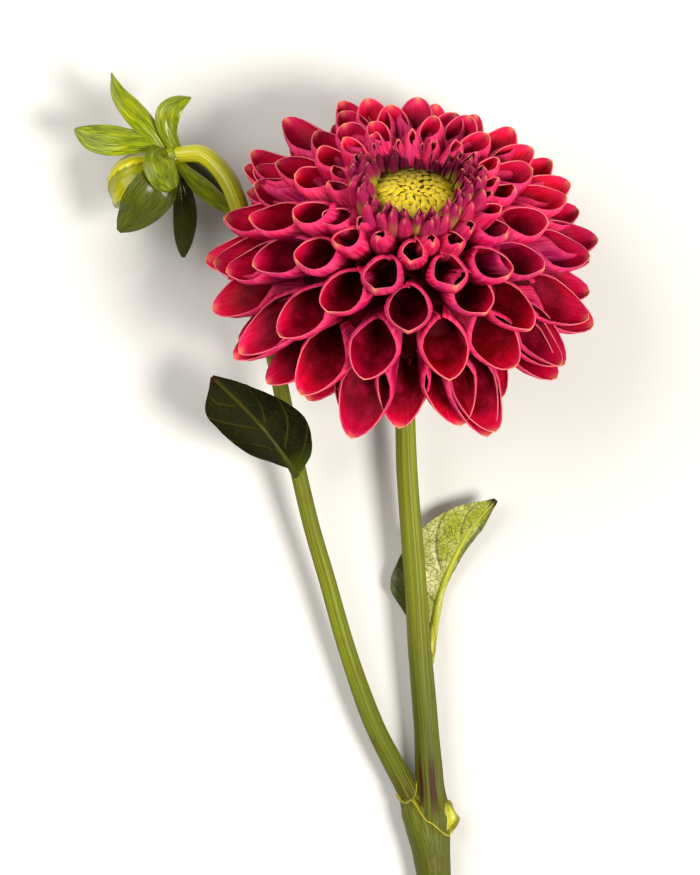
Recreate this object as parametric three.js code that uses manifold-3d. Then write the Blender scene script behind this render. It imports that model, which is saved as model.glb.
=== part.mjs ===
// A cut dahlia, laid on a table: one ball-shaped bloom on its stem, a nodding bud on a side stem that
// leaves the same joint, and two small leaves. Millimetres. +Z is up from the table, +Y runs from the
// cut end towards the bloom, and the bloom and the cut end rest on the plane Z = 0.
//
// The bloom is described in a frame of its own: r is the distance from its axis, z the height along the
// axis from the middle of the widest row of petals, and azimuth turns round the axis from the side that
// shows from above.

import * as THREE from "three";
import { mergeGeometries, mergeVertices } from "three/addons/utils/BufferGeometryUtils.js";
import Module from "manifold-3d";

const wasm = await Module();
wasm.setup();

// ---- Driving dimensions ----

const BLOOM_HEIGHT = 38; // the middle of the bloom above the table
const BLOOM_ELEVATION = 50; // degrees, its axis above the table
const BLOOM_LEAN = 3; // degrees, its axis towards +X
const SEAM = 0.3; // clearance between two pieces that touch

// Rows of petals from the eye outwards. root and tip are (r, z). lean is the angle between the petal's
// end and the bloom's axis. halfWidth is half its width unrolled, tube the radius that it is rolled to,
// at the root and at the mouth.
const ROWS = [
  { count: 16, phase: 4, root: [10, 12], tip: [11, 24.6], lean: -20, halfWidth: 2.6, tube: [0.9, 1.4] },
  { count: 15, phase: 12, root: [11, 11.5], tip: [15.4, 25.6], lean: 2, halfWidth: 4, tube: [1.1, 2.1] },
  { count: 15, phase: -3, root: [12, 10.5], tip: [20.4, 25.2], lean: 16, halfWidth: 6.4, tube: [1.4, 3.1] },
  { count: 13, phase: -18, root: [13.5, 9], tip: [26.8, 21.8], lean: 32, halfWidth: 9.5, tube: [1.8, 4.7] },
  { count: 12, phase: 0, root: [15, 7], tip: [33.8, 16.6], lean: 48, halfWidth: 12, tube: [2.2, 6] },
  { count: 12, phase: -15, root: [16.5, 4], tip: [39.8, 8.6], lean: 62, halfWidth: 13, tube: [2.6, 6.7] },
  { count: 13, phase: -4, root: [17, 0.5], tip: [43.4, -2], lean: 82, halfWidth: 13, tube: [2.8, 7.1] },
  { count: 13, phase: -21, root: [16, -3.5], tip: [44.4, -12.4], lean: 100, halfWidth: 12.4, tube: [3, 7.3] },
  { count: 12, phase: -5, root: [14, -6.5], tip: [39, -21.6], lean: 114, halfWidth: 11.4, tube: [3, 7.4] },
];
const SKEW = 0.075; // how much further the outer petals reach behind than in front, as a part of r
const ROLL_HEIGHT = 0.84; // of the roll of a petal, as a part of its width
const PETAL_THICKNESS = 0.7;
const CORE = { radius: 33, height: 19.5, middle: -2.5, underside: -12 }; // of the ellipse that it is turned from

const EYE_RADIUS = 8.6;
const EYE_BASE = 16.2; // z of its rim, above the top of the core
const EYE_RISE = 2.6;
const EYE_SCALES = 46;

const CALYX = [[0, -12], [8.6, -12], [9, -13.4], [7.4, -16], [4.4, -18.6], [2.9, -21], [0, -21]];
const CALYX_BRACTS = 8;
const STEM_START = 21.4; // along the bloom's axis below its middle

// The stem's middle line, from below the calyx to the cut end, and its radius there.
const MAIN_STEM = [
  { at: [-1, -19, 15.5], radius: 2.5 },
  { at: [-0.9, -27, 11.6], radius: 2.4 },
  { at: [-0.5, -38, 9.8], radius: 2.4 },
  { at: [0, -50.4, 8.8], radius: 2.5 },
  { at: [1.9, -74.5, 7.3], radius: 2.6 },
  { at: [3, -90.6, 6.3], radius: 2.8 },
  { at: [4.4, -107.6, 5.3], radius: 2.9 },
  { at: [5.3, -121.1, 4.6], radius: 3.3 },
  { at: [6, -130, 4.5], radius: 4.4 },
  { at: [6.1, -134.6, 4.2], radius: 4.1 },
  { at: [6.4, -141, 3.9], radius: 3.9 },
  { at: [6.7, -149, 3.7], radius: 3.8 },
];
const SIDE_STEM = [
  { at: [5, -131.5, 4.6], radius: 2.6 },
  { at: [1.9, -127.6, 4.8], radius: 2.6 },
  { at: [-1.4, -121.1, 5], radius: 2.5 },
  { at: [-8.2, -107.6, 5.4], radius: 2.3 },
  { at: [-14.3, -90.5, 6.2], radius: 2.1 },
  { at: [-19, -74, 7.6], radius: 2 },
  { at: [-23.1, -59.7, 9.2], radius: 1.95 },
  { at: [-26.9, -43, 11.6], radius: 1.9 },
  { at: [-30.6, -25, 14.6], radius: 1.85 },
  { at: [-34, -9, 17.4], radius: 1.85 },
  { at: [-37, 5.5, 19.6], radius: 1.9 },
  { at: [-41, 18.8, 20], radius: 1.9 },
  { at: [-47.2, 25.6, 19], radius: 1.8 },
  { at: [-54, 25.8, 17.6], radius: 1.7 },
];
const AXIL_KNOB = { at: [10.4, -129.6, 5], radii: [2.6, 3.2, 2.2] };

const BUD_CENTRE = [-62.6, 18.8, 15];
const BUD_RADIUS = 7.6;
// The green bracts behind the bud, each along the line of its midrib from the joint.
const BUD_BRACTS = [
  { path: [[-56, 26.4, 17], [-66, 28.8, 18.6], [-77.2, 30.2, 16]], halfWidth: 3.5 },
  { path: [[-56.6, 26.6, 17], [-62, 33.6, 19.4], [-68.8, 43.8, 18.6]], halfWidth: 2.2 },
  { path: [[-55, 26, 17.6], [-57, 32.6, 20], [-50.9, 37.6, 19.6]], halfWidth: 3.4 },
  { path: [[-56.2, 26, 18], [-57, 21.8, 25], [-55.2, 16.6, 25.4]], halfWidth: 4.2 },
  { path: [[-54, 23, 17], [-60, 14.8, 23], [-67, 8.2, 17.6]], halfWidth: 5.2 },
  { path: [[-53.8, 24.6, 16.8], [-51.8, 12, 14.6], [-52.4, 1.8, 10]], halfWidth: 3 },
  { path: [[-53.6, 23.6, 17.6], [-48, 18, 17.4], [-40.6, 11.6, 13]], halfWidth: 2.6 },
];
const BRACT_THICKNESS = 0.8;

// Leaves: the midrib from the stem to the tip, and the half widths to its left and right along it.
const LEFT_LEAF = {
  midrib: [[-25.9, -49.4, 11.4], [-28.4, -45.4, 16.6], [-33.4, -38.6, 19.6], [-40, -31.6, 20.6], [-46.8, -26.6, 19]],
  left: [0.8, 1.6, 6.8, 9.4, 9.2, 6.4, 0.5],
  right: [0.8, 3, 8.8, 10.4, 9.8, 6.4, 0.5],
  cup: 0.5,
};
const RIGHT_LEAF = {
  midrib: [[5, -93.4, 5.4], [6.8, -82, 2.8], [9, -74, 3], [14, -63.6, 4.8], [20.8, -55, 6.8]],
  left: [0.8, 1.6, 10.4, 12.6, 10.4, 5.8, 0.5],
  right: [0.8, 0.9, 1.6, 2.4, 2.8, 2.2, 0.5],
  cup: 0.12,
};
const LEAF_THICKNESS = 0.7;

// ---- Shared forms ----

const radians = THREE.MathUtils.degToRad;
const vector = ([x, y, z]) => new THREE.Vector3(x, y, z);

const bloomFrame = new THREE.Matrix4();
{
  const flat = Math.cos(radians(BLOOM_ELEVATION));
  const lean = radians(BLOOM_LEAN);
  const axis = new THREE.Vector3(flat * Math.sin(lean), flat * Math.cos(lean), Math.sin(radians(BLOOM_ELEVATION)));
  const front = new THREE.Vector3(0, 0, 1).addScaledVector(axis, -axis.z).normalize();
  bloomFrame.makeBasis(front, axis.clone().cross(front), axis).setPosition(0, 0, BLOOM_HEIGHT);
}

// A repeatable draw between -1 and 1 for one item of a series.
function draw(item, series) {
  const x = Math.sin(item * 12.9898 + series * 78.233) * 43758.5453;
  return 2 * (x - Math.floor(x)) - 1;
}

// The value of evenly spaced samples at t, from 0 to 1.
function sample(values, t) {
  const x = THREE.MathUtils.clamp(t, 0, 1) * (values.length - 1);
  const i = Math.min(Math.floor(x), values.length - 2);
  return THREE.MathUtils.lerp(values[i], values[i + 1], x - i);
}

// A closed geometry as a solid.
function solid(geometry) {
  const bare = geometry.clone();
  bare.deleteAttribute("normal");
  bare.deleteAttribute("uv");
  const merged = mergeVertices(bare, 1e-4);
  const mesh = new wasm.Mesh({
    numProp: 3,
    vertProperties: new Float32Array(merged.attributes.position.array),
    triVerts: new Uint32Array(merged.index.array),
  });
  mesh.merge();
  return new wasm.Manifold(mesh);
}

// The largest body of a solid, without its closed inner pockets.
function largestBody(shape) {
  return shape.decompose().sort((a, b) => b.volume() - a.volume())[0];
}

function join(shapes) {
  return shapes.reduce((whole, shape) => whole.add(shape));
}

// A blade of even thickness about the surface point(u, v), u from -1 to 1 and v from 0 to 1, with its
// front on the side that u cross v points to.
function blade(point, us, vs, thickness) {
  const across = us.length - 1;
  const along = vs.length - 1;
  const middle = new THREE.PlaneGeometry(1, 1, across, along);
  const position = middle.attributes.position;
  vs.forEach((v, row) => {
    us.forEach((u, column) => {
      const p = point(u, v);
      position.setXYZ((along - row) * us.length + column, p.x, p.y, p.z);
    });
  });
  middle.computeVertexNormals();
  const normal = middle.attributes.normal;
  const total = position.count;
  const vertices = [];
  for (const side of [0.5, -0.5]) {
    for (let i = 0; i < total; i++) {
      const p = new THREE.Vector3().fromBufferAttribute(position, i);
      p.addScaledVector(new THREE.Vector3().fromBufferAttribute(normal, i), side * thickness);
      vertices.push(p.x, p.y, p.z);
    }
  }
  const front = Array.from(middle.index.array);
  const triangles = [...front];
  for (let i = 0; i < front.length; i += 3) {
    triangles.push(front[i] + total, front[i + 2] + total, front[i + 1] + total);
  }
  const rim = [];
  for (let row = 0; row < along; row++) rim.push(row * us.length);
  for (let column = 0; column < across; column++) rim.push(along * us.length + column);
  for (let row = along; row > 0; row--) rim.push(row * us.length + across);
  for (let column = across; column > 0; column--) rim.push(column);
  rim.forEach((a, i) => {
    const b = rim[(i + 1) % rim.length];
    triangles.push(b, a, a + total, b, a + total, b + total);
  });
  const geometry = new THREE.BufferGeometry();
  geometry.setAttribute("position", new THREE.Float32BufferAttribute(vertices, 3));
  geometry.setIndex(triangles);
  return solid(geometry);
}

// A round stalk through the given stations, its radius grown by extra and shaped by ribs.
function stalk(stations, { sides, steps, extra = 0, ribs = 0 }) {
  const curve = new THREE.CatmullRomCurve3(stations.map((station) => vector(station.at)), false, "centripetal");
  const radii = stations.map((station) => station.radius);
  const geometry = new THREE.CylinderGeometry(1, 1, 1, sides, steps);
  const position = geometry.attributes.position;
  const up = new THREE.Vector3(0, 0, 1);
  for (let i = 0; i < position.count; i++) {
    const p = new THREE.Vector3().fromBufferAttribute(position, i);
    const t = p.y + 0.5;
    const tangent = curve.getTangent(t);
    const side = tangent.clone().cross(up).normalize();
    const rise = side.clone().cross(tangent);
    const angle = Math.atan2(p.z, p.x);
    const ridge = 1 + ribs * Math.cos(5 * angle);
    const radius = Math.hypot(p.x, p.z) < 0.5 ? 0 : sample(radii, t) * ridge + extra;
    const at = curve.getPoint(t);
    at.addScaledVector(side, radius * Math.cos(angle)).addScaledVector(rise, radius * Math.sin(angle));
    position.setXYZ(i, at.x, at.y, at.z);
  }
  return solid(geometry);
}

function revolved(profile, segments, grow = 0) {
  const points = profile.map(([r, z], i) => {
    const end = i === 0 || i === profile.length - 1;
    const outward = z > (profile[0][1] + profile[profile.length - 1][1]) / 2 ? grow : -grow;
    return new THREE.Vector2(end ? 0 : r + grow, z + outward);
  });
  const geometry = new THREE.LatheGeometry(points.reverse(), segments);
  geometry.rotateX(Math.PI / 2);
  geometry.applyMatrix4(bloomFrame);
  return solid(geometry);
}

// ---- Petals ----

// One petal of a row: its keel in the (r, z) plane and its own small departures from the row.
function makePetal(row, series, index) {
  const turn = radians(row.phase + (360 * index) / row.count + draw(index, series) * (90 / row.count));
  const reach = 1 + 0.03 * draw(index, series + 20) - SKEW * (row.lean / 90) ** 3 * Math.cos(turn - radians(15));
  const tip = new THREE.Vector2(row.tip[0] * reach, row.tip[1] * reach + 0.6 * draw(index, series + 40));
  const root = new THREE.Vector2(row.root[0], row.root[1]);
  const lean = radians(row.lean + 5 * draw(index, series + 60));
  const hold = 0.5 * tip.distanceTo(root);
  const bend = new THREE.Vector2(tip.x - hold * Math.sin(lean), tip.y - hold * Math.cos(lean));
  return {
    turn,
    keel: new THREE.QuadraticBezierCurve(root, bend, tip),
    twist: radians(9 * draw(index, series + 80)),
    width: row.halfWidth * (1 + 0.07 * draw(index, series + 100)),
    tube: row.tube,
    roll: radians(row.halfWidth < 5 ? 112 : 150),
  };
}

// The petal's middle surface in the part's frame: u across it, v from the root to the tip. It is a
// round-ended strap, rolled about its keel.
function petalPoint(petal, u, v) {
  const at = petal.keel.getPoint(v);
  const along = petal.keel.getTangent(v);
  const end = Math.max(0, (v - 0.6) / 0.4);
  const width = petal.width * (0.45 + 0.55 * THREE.MathUtils.smoothstep(v, 0, 0.55)) * Math.sqrt(1 - 0.86 * end * end);
  const radius = THREE.MathUtils.lerp(petal.tube[0], petal.tube[1], v);
  const angle = u * Math.min(width / radius, petal.roll);
  const aside = radius * Math.sin(angle);
  const rise = ROLL_HEIGHT * radius * (1 - Math.cos(angle));
  const side = aside * Math.cos(petal.twist) - rise * Math.sin(petal.twist);
  const lift = aside * Math.sin(petal.twist) + rise * Math.cos(petal.twist);
  const r = at.x - lift * along.y;
  const z = at.y + lift * along.x;
  const p = new THREE.Vector3(r, side, z).applyAxisAngle(new THREE.Vector3(0, 0, 1), petal.turn);
  return p.applyMatrix4(bloomFrame);
}

const sideStemLine = new THREE.CatmullRomCurve3(SIDE_STEM.map((station) => vector(station.at)), false, "centripetal");
const sideStemPoints = sideStemLine.getPoints(120);

// Moves a point of a petal that the side stem would run through to the stem's surface.
function clearOfSideStem(p) {
  const clearance = 1.9 + SEAM + PETAL_THICKNESS;
  let nearest = sideStemPoints[0];
  for (const q of sideStemPoints) {
    if (p.distanceToSquared(q) < p.distanceToSquared(nearest)) nearest = q;
  }
  const away = p.clone().sub(nearest);
  if (away.length() < clearance) p.copy(nearest).addScaledVector(away.normalize(), clearance);
  return p;
}

function coreProfile() {
  const bottom = Math.asin((CORE.underside - CORE.middle) / CORE.height);
  const profile = [];
  for (let i = 0; i <= 6; i++) {
    const angle = THREE.MathUtils.lerp(Math.PI / 2, bottom, i / 6);
    profile.push([CORE.radius * Math.cos(angle), CORE.middle + CORE.height * Math.sin(angle)]);
  }
  profile.push([0, CORE.underside]);
  return profile;
}

// How far along its keel a petal is still well inside the core.
function sunkenPart(petal) {
  let v = 0.7;
  while (v > 0.1) {
    const at = petal.keel.getPoint(v);
    if ((at.x / CORE.radius) ** 2 + ((at.y - CORE.middle) / CORE.height) ** 2 < 0.9) break;
    v -= 0.02;
  }
  return v;
}

const petals = [revolved(coreProfile(), 14)];
ROWS.forEach((row, series) => {
  const young = row.halfWidth < 5;
  const reflexed = row.lean > 90;
  const us = young ? [-1, 0, 1] : reflexed ? [-1, -0.36, 0.36, 1] : [-1, -0.5, 0, 0.5, 1];
  const stations = row.tip[0] > 30 && !reflexed ? [0, 0.45, 0.8, 1] : [0, 0.62, 1];
  for (let index = 0; index < row.count; index++) {
    const petal = makePetal(row, series, index);
    const start = sunkenPart(petal);
    const vs = stations.map((part) => THREE.MathUtils.lerp(start, 1, part));
    petals.push(blade((u, v) => clearOfSideStem(petalPoint(petal, u, v)), us, vs, PETAL_THICKNESS));
  }
});

// ---- Eye: unopened florets, each a small pointed scale on a low dome ----

function eyeDome(grow) {
  const profile = [[0, EYE_BASE + EYE_RISE]];
  for (let i = 1; i <= 5; i++) {
    const angle = (i / 5) * (Math.PI / 2);
    profile.push([EYE_RADIUS * Math.sin(angle), EYE_BASE + EYE_RISE * Math.cos(angle)]);
  }
  profile.push([0, EYE_BASE]);
  return revolved(profile, 24, grow);
}

function eyeScale(index) {
  const part = (index + 0.5) / EYE_SCALES;
  const r = (EYE_RADIUS - 0.8) * Math.sqrt(part);
  const turn = index * Math.PI * (3 - Math.sqrt(5));
  const geometry = new THREE.ConeGeometry(1.4, 3.4, 3);
  geometry.scale(1, 1, 0.55);
  geometry.rotateX(Math.PI / 2);
  geometry.translate(0, 0, 0.9);
  geometry.rotateY(-0.35 - 0.3 * part);
  const z = EYE_BASE + EYE_RISE * Math.sqrt(1 - (r / EYE_RADIUS) ** 2);
  geometry.translate(r, 0, z);
  geometry.rotateZ(turn);
  geometry.applyMatrix4(bloomFrame);
  return solid(geometry);
}

const eyeParts = [eyeDome(0)];
for (let index = 0; index < EYE_SCALES; index++) eyeParts.push(eyeScale(index));

// ---- Calyx: the swollen end of the stem behind the petals, with its green bracts ----

function calyxBract(index, thickness) {
  const turn = (2 * Math.PI * index) / CALYX_BRACTS + 0.1 * draw(index, 7);
  const line = new THREE.QuadraticBezierCurve(
    new THREE.Vector2(5, -14.4), new THREE.Vector2(12, -16.5), new THREE.Vector2(19 + draw(index, 8), -23.5));
  const point = (u, v) => {
    const at = line.getPoint(v);
    const width = 3.9 * Math.sqrt(Math.max(0.02, 1 - (Math.max(0, v - 0.4) / 0.6) ** 2)) * (0.7 + 0.3 * Math.min(1, v / 0.4));
    const p = new THREE.Vector3(at.x, u * width, at.y + 0.8 * u * u);
    return p.applyAxisAngle(new THREE.Vector3(0, 0, 1), turn).applyMatrix4(bloomFrame);
  };
  return blade(point, [-1, 0, 1], [0, 0.4, 0.75, 1], thickness);
}

const calyxParts = [revolved(CALYX, 16)];
const calyxRoom = [revolved(CALYX, 16, SEAM)];
for (let index = 0; index < CALYX_BRACTS; index++) {
  calyxParts.push(calyxBract(index, BRACT_THICKNESS));
  calyxRoom.push(calyxBract(index, BRACT_THICKNESS + 2 * SEAM));
}

// ---- Stem ----

const stemTop = new THREE.Vector3(0, 0, -STEM_START).applyMatrix4(bloomFrame);
const mainStations = [{ at: stemTop.toArray(), radius: 2.7 }, ...MAIN_STEM];

function knob(extra) {
  const geometry = new THREE.SphereGeometry(1, 8, 5);
  geometry.scale(...AXIL_KNOB.radii.map((radius) => radius + extra));
  geometry.translate(...AXIL_KNOB.at);
  return solid(geometry);
}

function stem(extra) {
  const main = stalk(mainStations, { sides: 12, steps: 22, extra, ribs: 0.03 });
  const side = stalk(SIDE_STEM, { sides: 8, steps: 24, extra });
  return join([main, side, knob(extra)]);
}

// ---- Bud and its bracts ----

const budCentre = vector(BUD_CENTRE);
const budJoint = vector(SIDE_STEM[SIDE_STEM.length - 1].at);
const budAxis = budCentre.clone().sub(budJoint).normalize();

// A globe of scales that lap over each other and meet at its tip, raised from it by a formula.
function budGlobe(grow) {
  const geometry = new THREE.SphereGeometry(1, 24, 12);
  const position = geometry.attributes.position;
  for (let i = 0; i < position.count; i++) {
    const p = new THREE.Vector3().fromBufferAttribute(position, i);
    const height = Math.acos(THREE.MathUtils.clamp(p.y, -1, 1)) / Math.PI;
    const turn = Math.atan2(p.z, p.x) / (2 * Math.PI) + 0.12 * height;
    const scale = (turn * 6 + 6) % 1;
    const relief = 0.5 * scale * Math.sin(Math.PI * height) ** 0.7;
    p.multiplyScalar(BUD_RADIUS + relief - 0.25 + grow);
    position.setXYZ(i, p.x, p.y, p.z);
  }
  geometry.applyQuaternion(new THREE.Quaternion().setFromUnitVectors(new THREE.Vector3(0, 1, 0), budAxis));
  geometry.translate(...BUD_CENTRE);
  return solid(geometry);
}

function budBract({ path, halfWidth }) {
  const line = new THREE.CatmullRomCurve3(path.map(vector));
  const point = (u, v) => {
    const at = line.getPoint(v);
    const tangent = line.getTangent(v);
    const outward = at.clone().sub(budCentre).normalize().multiplyScalar(0.4);
    outward.z += 0.9;
    const side = tangent.clone().cross(outward).normalize();
    const taper = v < 0.45 ? 0.55 + 0.45 * (v / 0.45) : Math.sqrt(Math.max(0.03, 1 - ((v - 0.45) / 0.55) ** 2));
    const p = at.addScaledVector(side, u * halfWidth * taper).addScaledVector(outward, -0.9 * u * u * taper);
    const away = p.clone().sub(budCentre);
    const least = BUD_RADIUS + 0.25 + SEAM + BRACT_THICKNESS;
    if (away.length() < least) p.copy(budCentre).addScaledVector(away.normalize(), least);
    return p;
  };
  return blade(point, [-1, 0, 1], [0, 0.25, 0.5, 0.75, 1], BRACT_THICKNESS);
}

function budCup(extra) {
  const geometry = new THREE.SphereGeometry(2.9 + extra, 12, 8);
  geometry.translate(...budJoint.clone().addScaledVector(budAxis, 0.6).toArray());
  return solid(geometry);
}

// ---- Leaves ----

// A blade on either side of a midrib, with its edge in shallow teeth and its two halves cupped.
function leaf({ midrib, left, right, cup }) {
  const line = new THREE.CatmullRomCurve3(midrib.map(vector));
  const steps = 14;
  const point = (u, v) => {
    const at = line.getPoint(v);
    const tangent = line.getTangent(v);
    const side = tangent.clone().cross(new THREE.Vector3(0, 0, 1)).normalize();
    const up = side.clone().cross(tangent);
    const tooth = Math.round(v * steps) % 2 && v > 0.25 ? 0.93 : 1;
    const width = sample(u < 0 ? left : right, v) * tooth;
    const wave = 0.5 * Math.sin(9 * v + 3 * u) * Math.abs(u);
    const spread = u * width;
    at.addScaledVector(side, spread * (1 - 0.25 * cup * u * u));
    return at.addScaledVector(up, cup * width * u * u * 0.6 + wave * Math.min(1, width / 4));
  };
  const vs = Array.from({ length: steps + 1 }, (_, i) => i / steps);
  return blade(point, [-1, -0.5, 0, 0.5, 1], vs, LEAF_THICKNESS);
}

// ---- Fitting the pieces to each other ----

const stemSolid = stem(0);
const stemRoom = stem(SEAM);
const table = solid(new THREE.BoxGeometry(400, 400, 200).translate(0, 0, 100));
const shapes = {
  ray_petals: largestBody(
    join(petals).subtract(eyeDome(SEAM)).subtract(join(calyxRoom)).subtract(stemRoom).intersect(table)),
  eye_florets: largestBody(join(eyeParts)),
  calyx: largestBody(join(calyxParts)),
  forked_stem: largestBody(stemSolid.intersect(table)),
  bud: budGlobe(0),
  bud_bracts: largestBody(
    join([budCup(0), ...BUD_BRACTS.map(budBract)]).subtract(budGlobe(SEAM)).subtract(stemRoom)),
  left_leaf: largestBody(leaf(LEFT_LEAF).subtract(stemRoom)),
  right_leaf: largestBody(leaf(RIGHT_LEAF).subtract(stemRoom).intersect(table)),
};
const finishes = {
  ray_petals: { color: 0x9c0826, roughness: 0.55 },
  eye_florets: { color: 0xa6a01c, roughness: 0.6 },
  calyx: { color: 0x5f7a1e, roughness: 0.6 },
  forked_stem: { color: 0x83851e, roughness: 0.5 },
  bud: { color: 0x97a01e, roughness: 0.45 },
  bud_bracts: { color: 0x4c7314, roughness: 0.4 },
  left_leaf: { color: 0x2b3409, roughness: 0.5 },
  right_leaf: { color: 0x8a9a7a, roughness: 0.35 },
};

const group = new THREE.Group();
for (const [name, shape] of Object.entries(shapes)) {
  const { vertProperties, triVerts } = shape.getMesh();
  const geometry = new THREE.BufferGeometry();
  geometry.setAttribute("position", new THREE.BufferAttribute(vertProperties, 3));
  geometry.setIndex(new THREE.BufferAttribute(triVerts, 1));
  geometry.computeVertexNormals();
  const mesh = new THREE.Mesh(geometry, new THREE.MeshStandardMaterial({ ...finishes[name], metalness: 0 }));
  mesh.name = name;
  group.add(mesh);
}

// The origin is the middle of the underside of the whole part.
const bounds = new THREE.Box3().setFromObject(group);
const middle = bounds.getCenter(new THREE.Vector3());
group.position.set(-middle.x, -middle.y, -bounds.min.z);

export default group;
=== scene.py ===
import math

import bpy
import numpy as np
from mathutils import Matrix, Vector


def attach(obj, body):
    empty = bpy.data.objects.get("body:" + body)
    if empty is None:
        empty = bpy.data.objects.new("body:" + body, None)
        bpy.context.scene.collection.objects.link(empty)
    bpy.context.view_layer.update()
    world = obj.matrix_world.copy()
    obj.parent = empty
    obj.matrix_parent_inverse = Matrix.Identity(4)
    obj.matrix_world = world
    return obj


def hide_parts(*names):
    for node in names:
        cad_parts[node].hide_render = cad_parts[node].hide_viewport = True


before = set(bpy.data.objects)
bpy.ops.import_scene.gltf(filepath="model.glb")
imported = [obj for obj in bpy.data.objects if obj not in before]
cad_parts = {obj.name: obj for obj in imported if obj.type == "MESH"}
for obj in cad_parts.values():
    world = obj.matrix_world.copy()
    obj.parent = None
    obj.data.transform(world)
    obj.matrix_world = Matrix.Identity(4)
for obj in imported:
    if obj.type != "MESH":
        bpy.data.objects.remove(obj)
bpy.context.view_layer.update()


# ---------------------------------------------------------------------------------------------------
# The bloom's petals. A dahlia's ray florets grow in rows from one flat disc. Each is a soft strap that is
# rolled into a tube at its root and lets go into a spoon at its end. They are crimson inside, paler
# magenta on the back, where fine veins run lengthwise, and cream-pink along the edge.

bloom_centre = Vector((0.016692, 0.052537, 0.038))
bloom_elevation = math.radians(50)
bloom_lean = math.radians(3)
petal_thickness = 0.00024
petal_skew = 0.075  # the share by which the outer petals reach further behind and less far in front
petal_wrap = math.radians(187)  # how far a petal's edges can go round its tube
lip_start = 0.89  # the share of its length at which a petal's rim begins to bend inwards
groove_depth = 0.2  # the relief on a petal, in millimetres
pleat_depth = 0.2
edge_wave = 0.4
end_bend = 1.1

# A petal's form by its stage, from the youngest beside the eye outwards, in millimetres and degrees in the
# bloom's own frame: root and tip are the distance from its axis and the height along it, lean is the
# angle of the end from the axis, half is half the width of the flat strap, tube its radius at the root,
# in the body and at the mouth, cut how far the end is cut back towards its sides, and notch how deep the
# keel stands back at the end.
petal_measures = ("stage", "root", "tip", "lean", "half", "tube", "cut", "notch")
petal_stages = [dict(zip(petal_measures, row)) for row in (
    (-2, (11.2, 15.5), (9.8, 25.6), -24, 5.9, (0.9, 1.75, 0.06), 0.03, 0),
    (-1, (11.4, 14.5), (11.8, 25.8), -14, 6.8, (1.0, 2.05, 0.08), 0.04, 0),
    (0, (11.6, 12.5), (13.8, 25.6), -6, 7.8, (1.1, 2.35, 0.2), 0.08, 0.02),
    (1, (12, 11.5), (16.4, 25.4), 4, 8.8, (1.3, 2.9, 0.5), 0.15, 0.1),
    (2, (12.6, 10.5), (20.6, 24.9), 16, 10.4, (1.6, 3.5, 1.4), 0.26, 0.13),
    (3, (13.5, 9), (26.8, 21.8), 32, 13.2, (1.9, 4.2, 3.9), 0.38, 0.04),
    (4, (15, 7), (33.8, 16.6), 48, 15.8, (2.4, 5.1, 4.9), 0.5, 0),
    (5, (16.5, 4), (39.8, 8.6), 62, 17.4, (2.8, 5.8, 5.3), 0.6, 0),
    (6, (17, 0.5), (43.4, -2), 82, 17.6, (3, 6.2, 5.6), 0.66, 0),
    (7, (16, -3.5), (44.4, -12.4), 100, 17, (3.2, 6.5, 5.9), 0.68, 0),
    (8, (14, -6.5), (39, -21.6), 114, 15.4, (3.2, 6.6, 6), 0.66, 0),
)]

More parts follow.
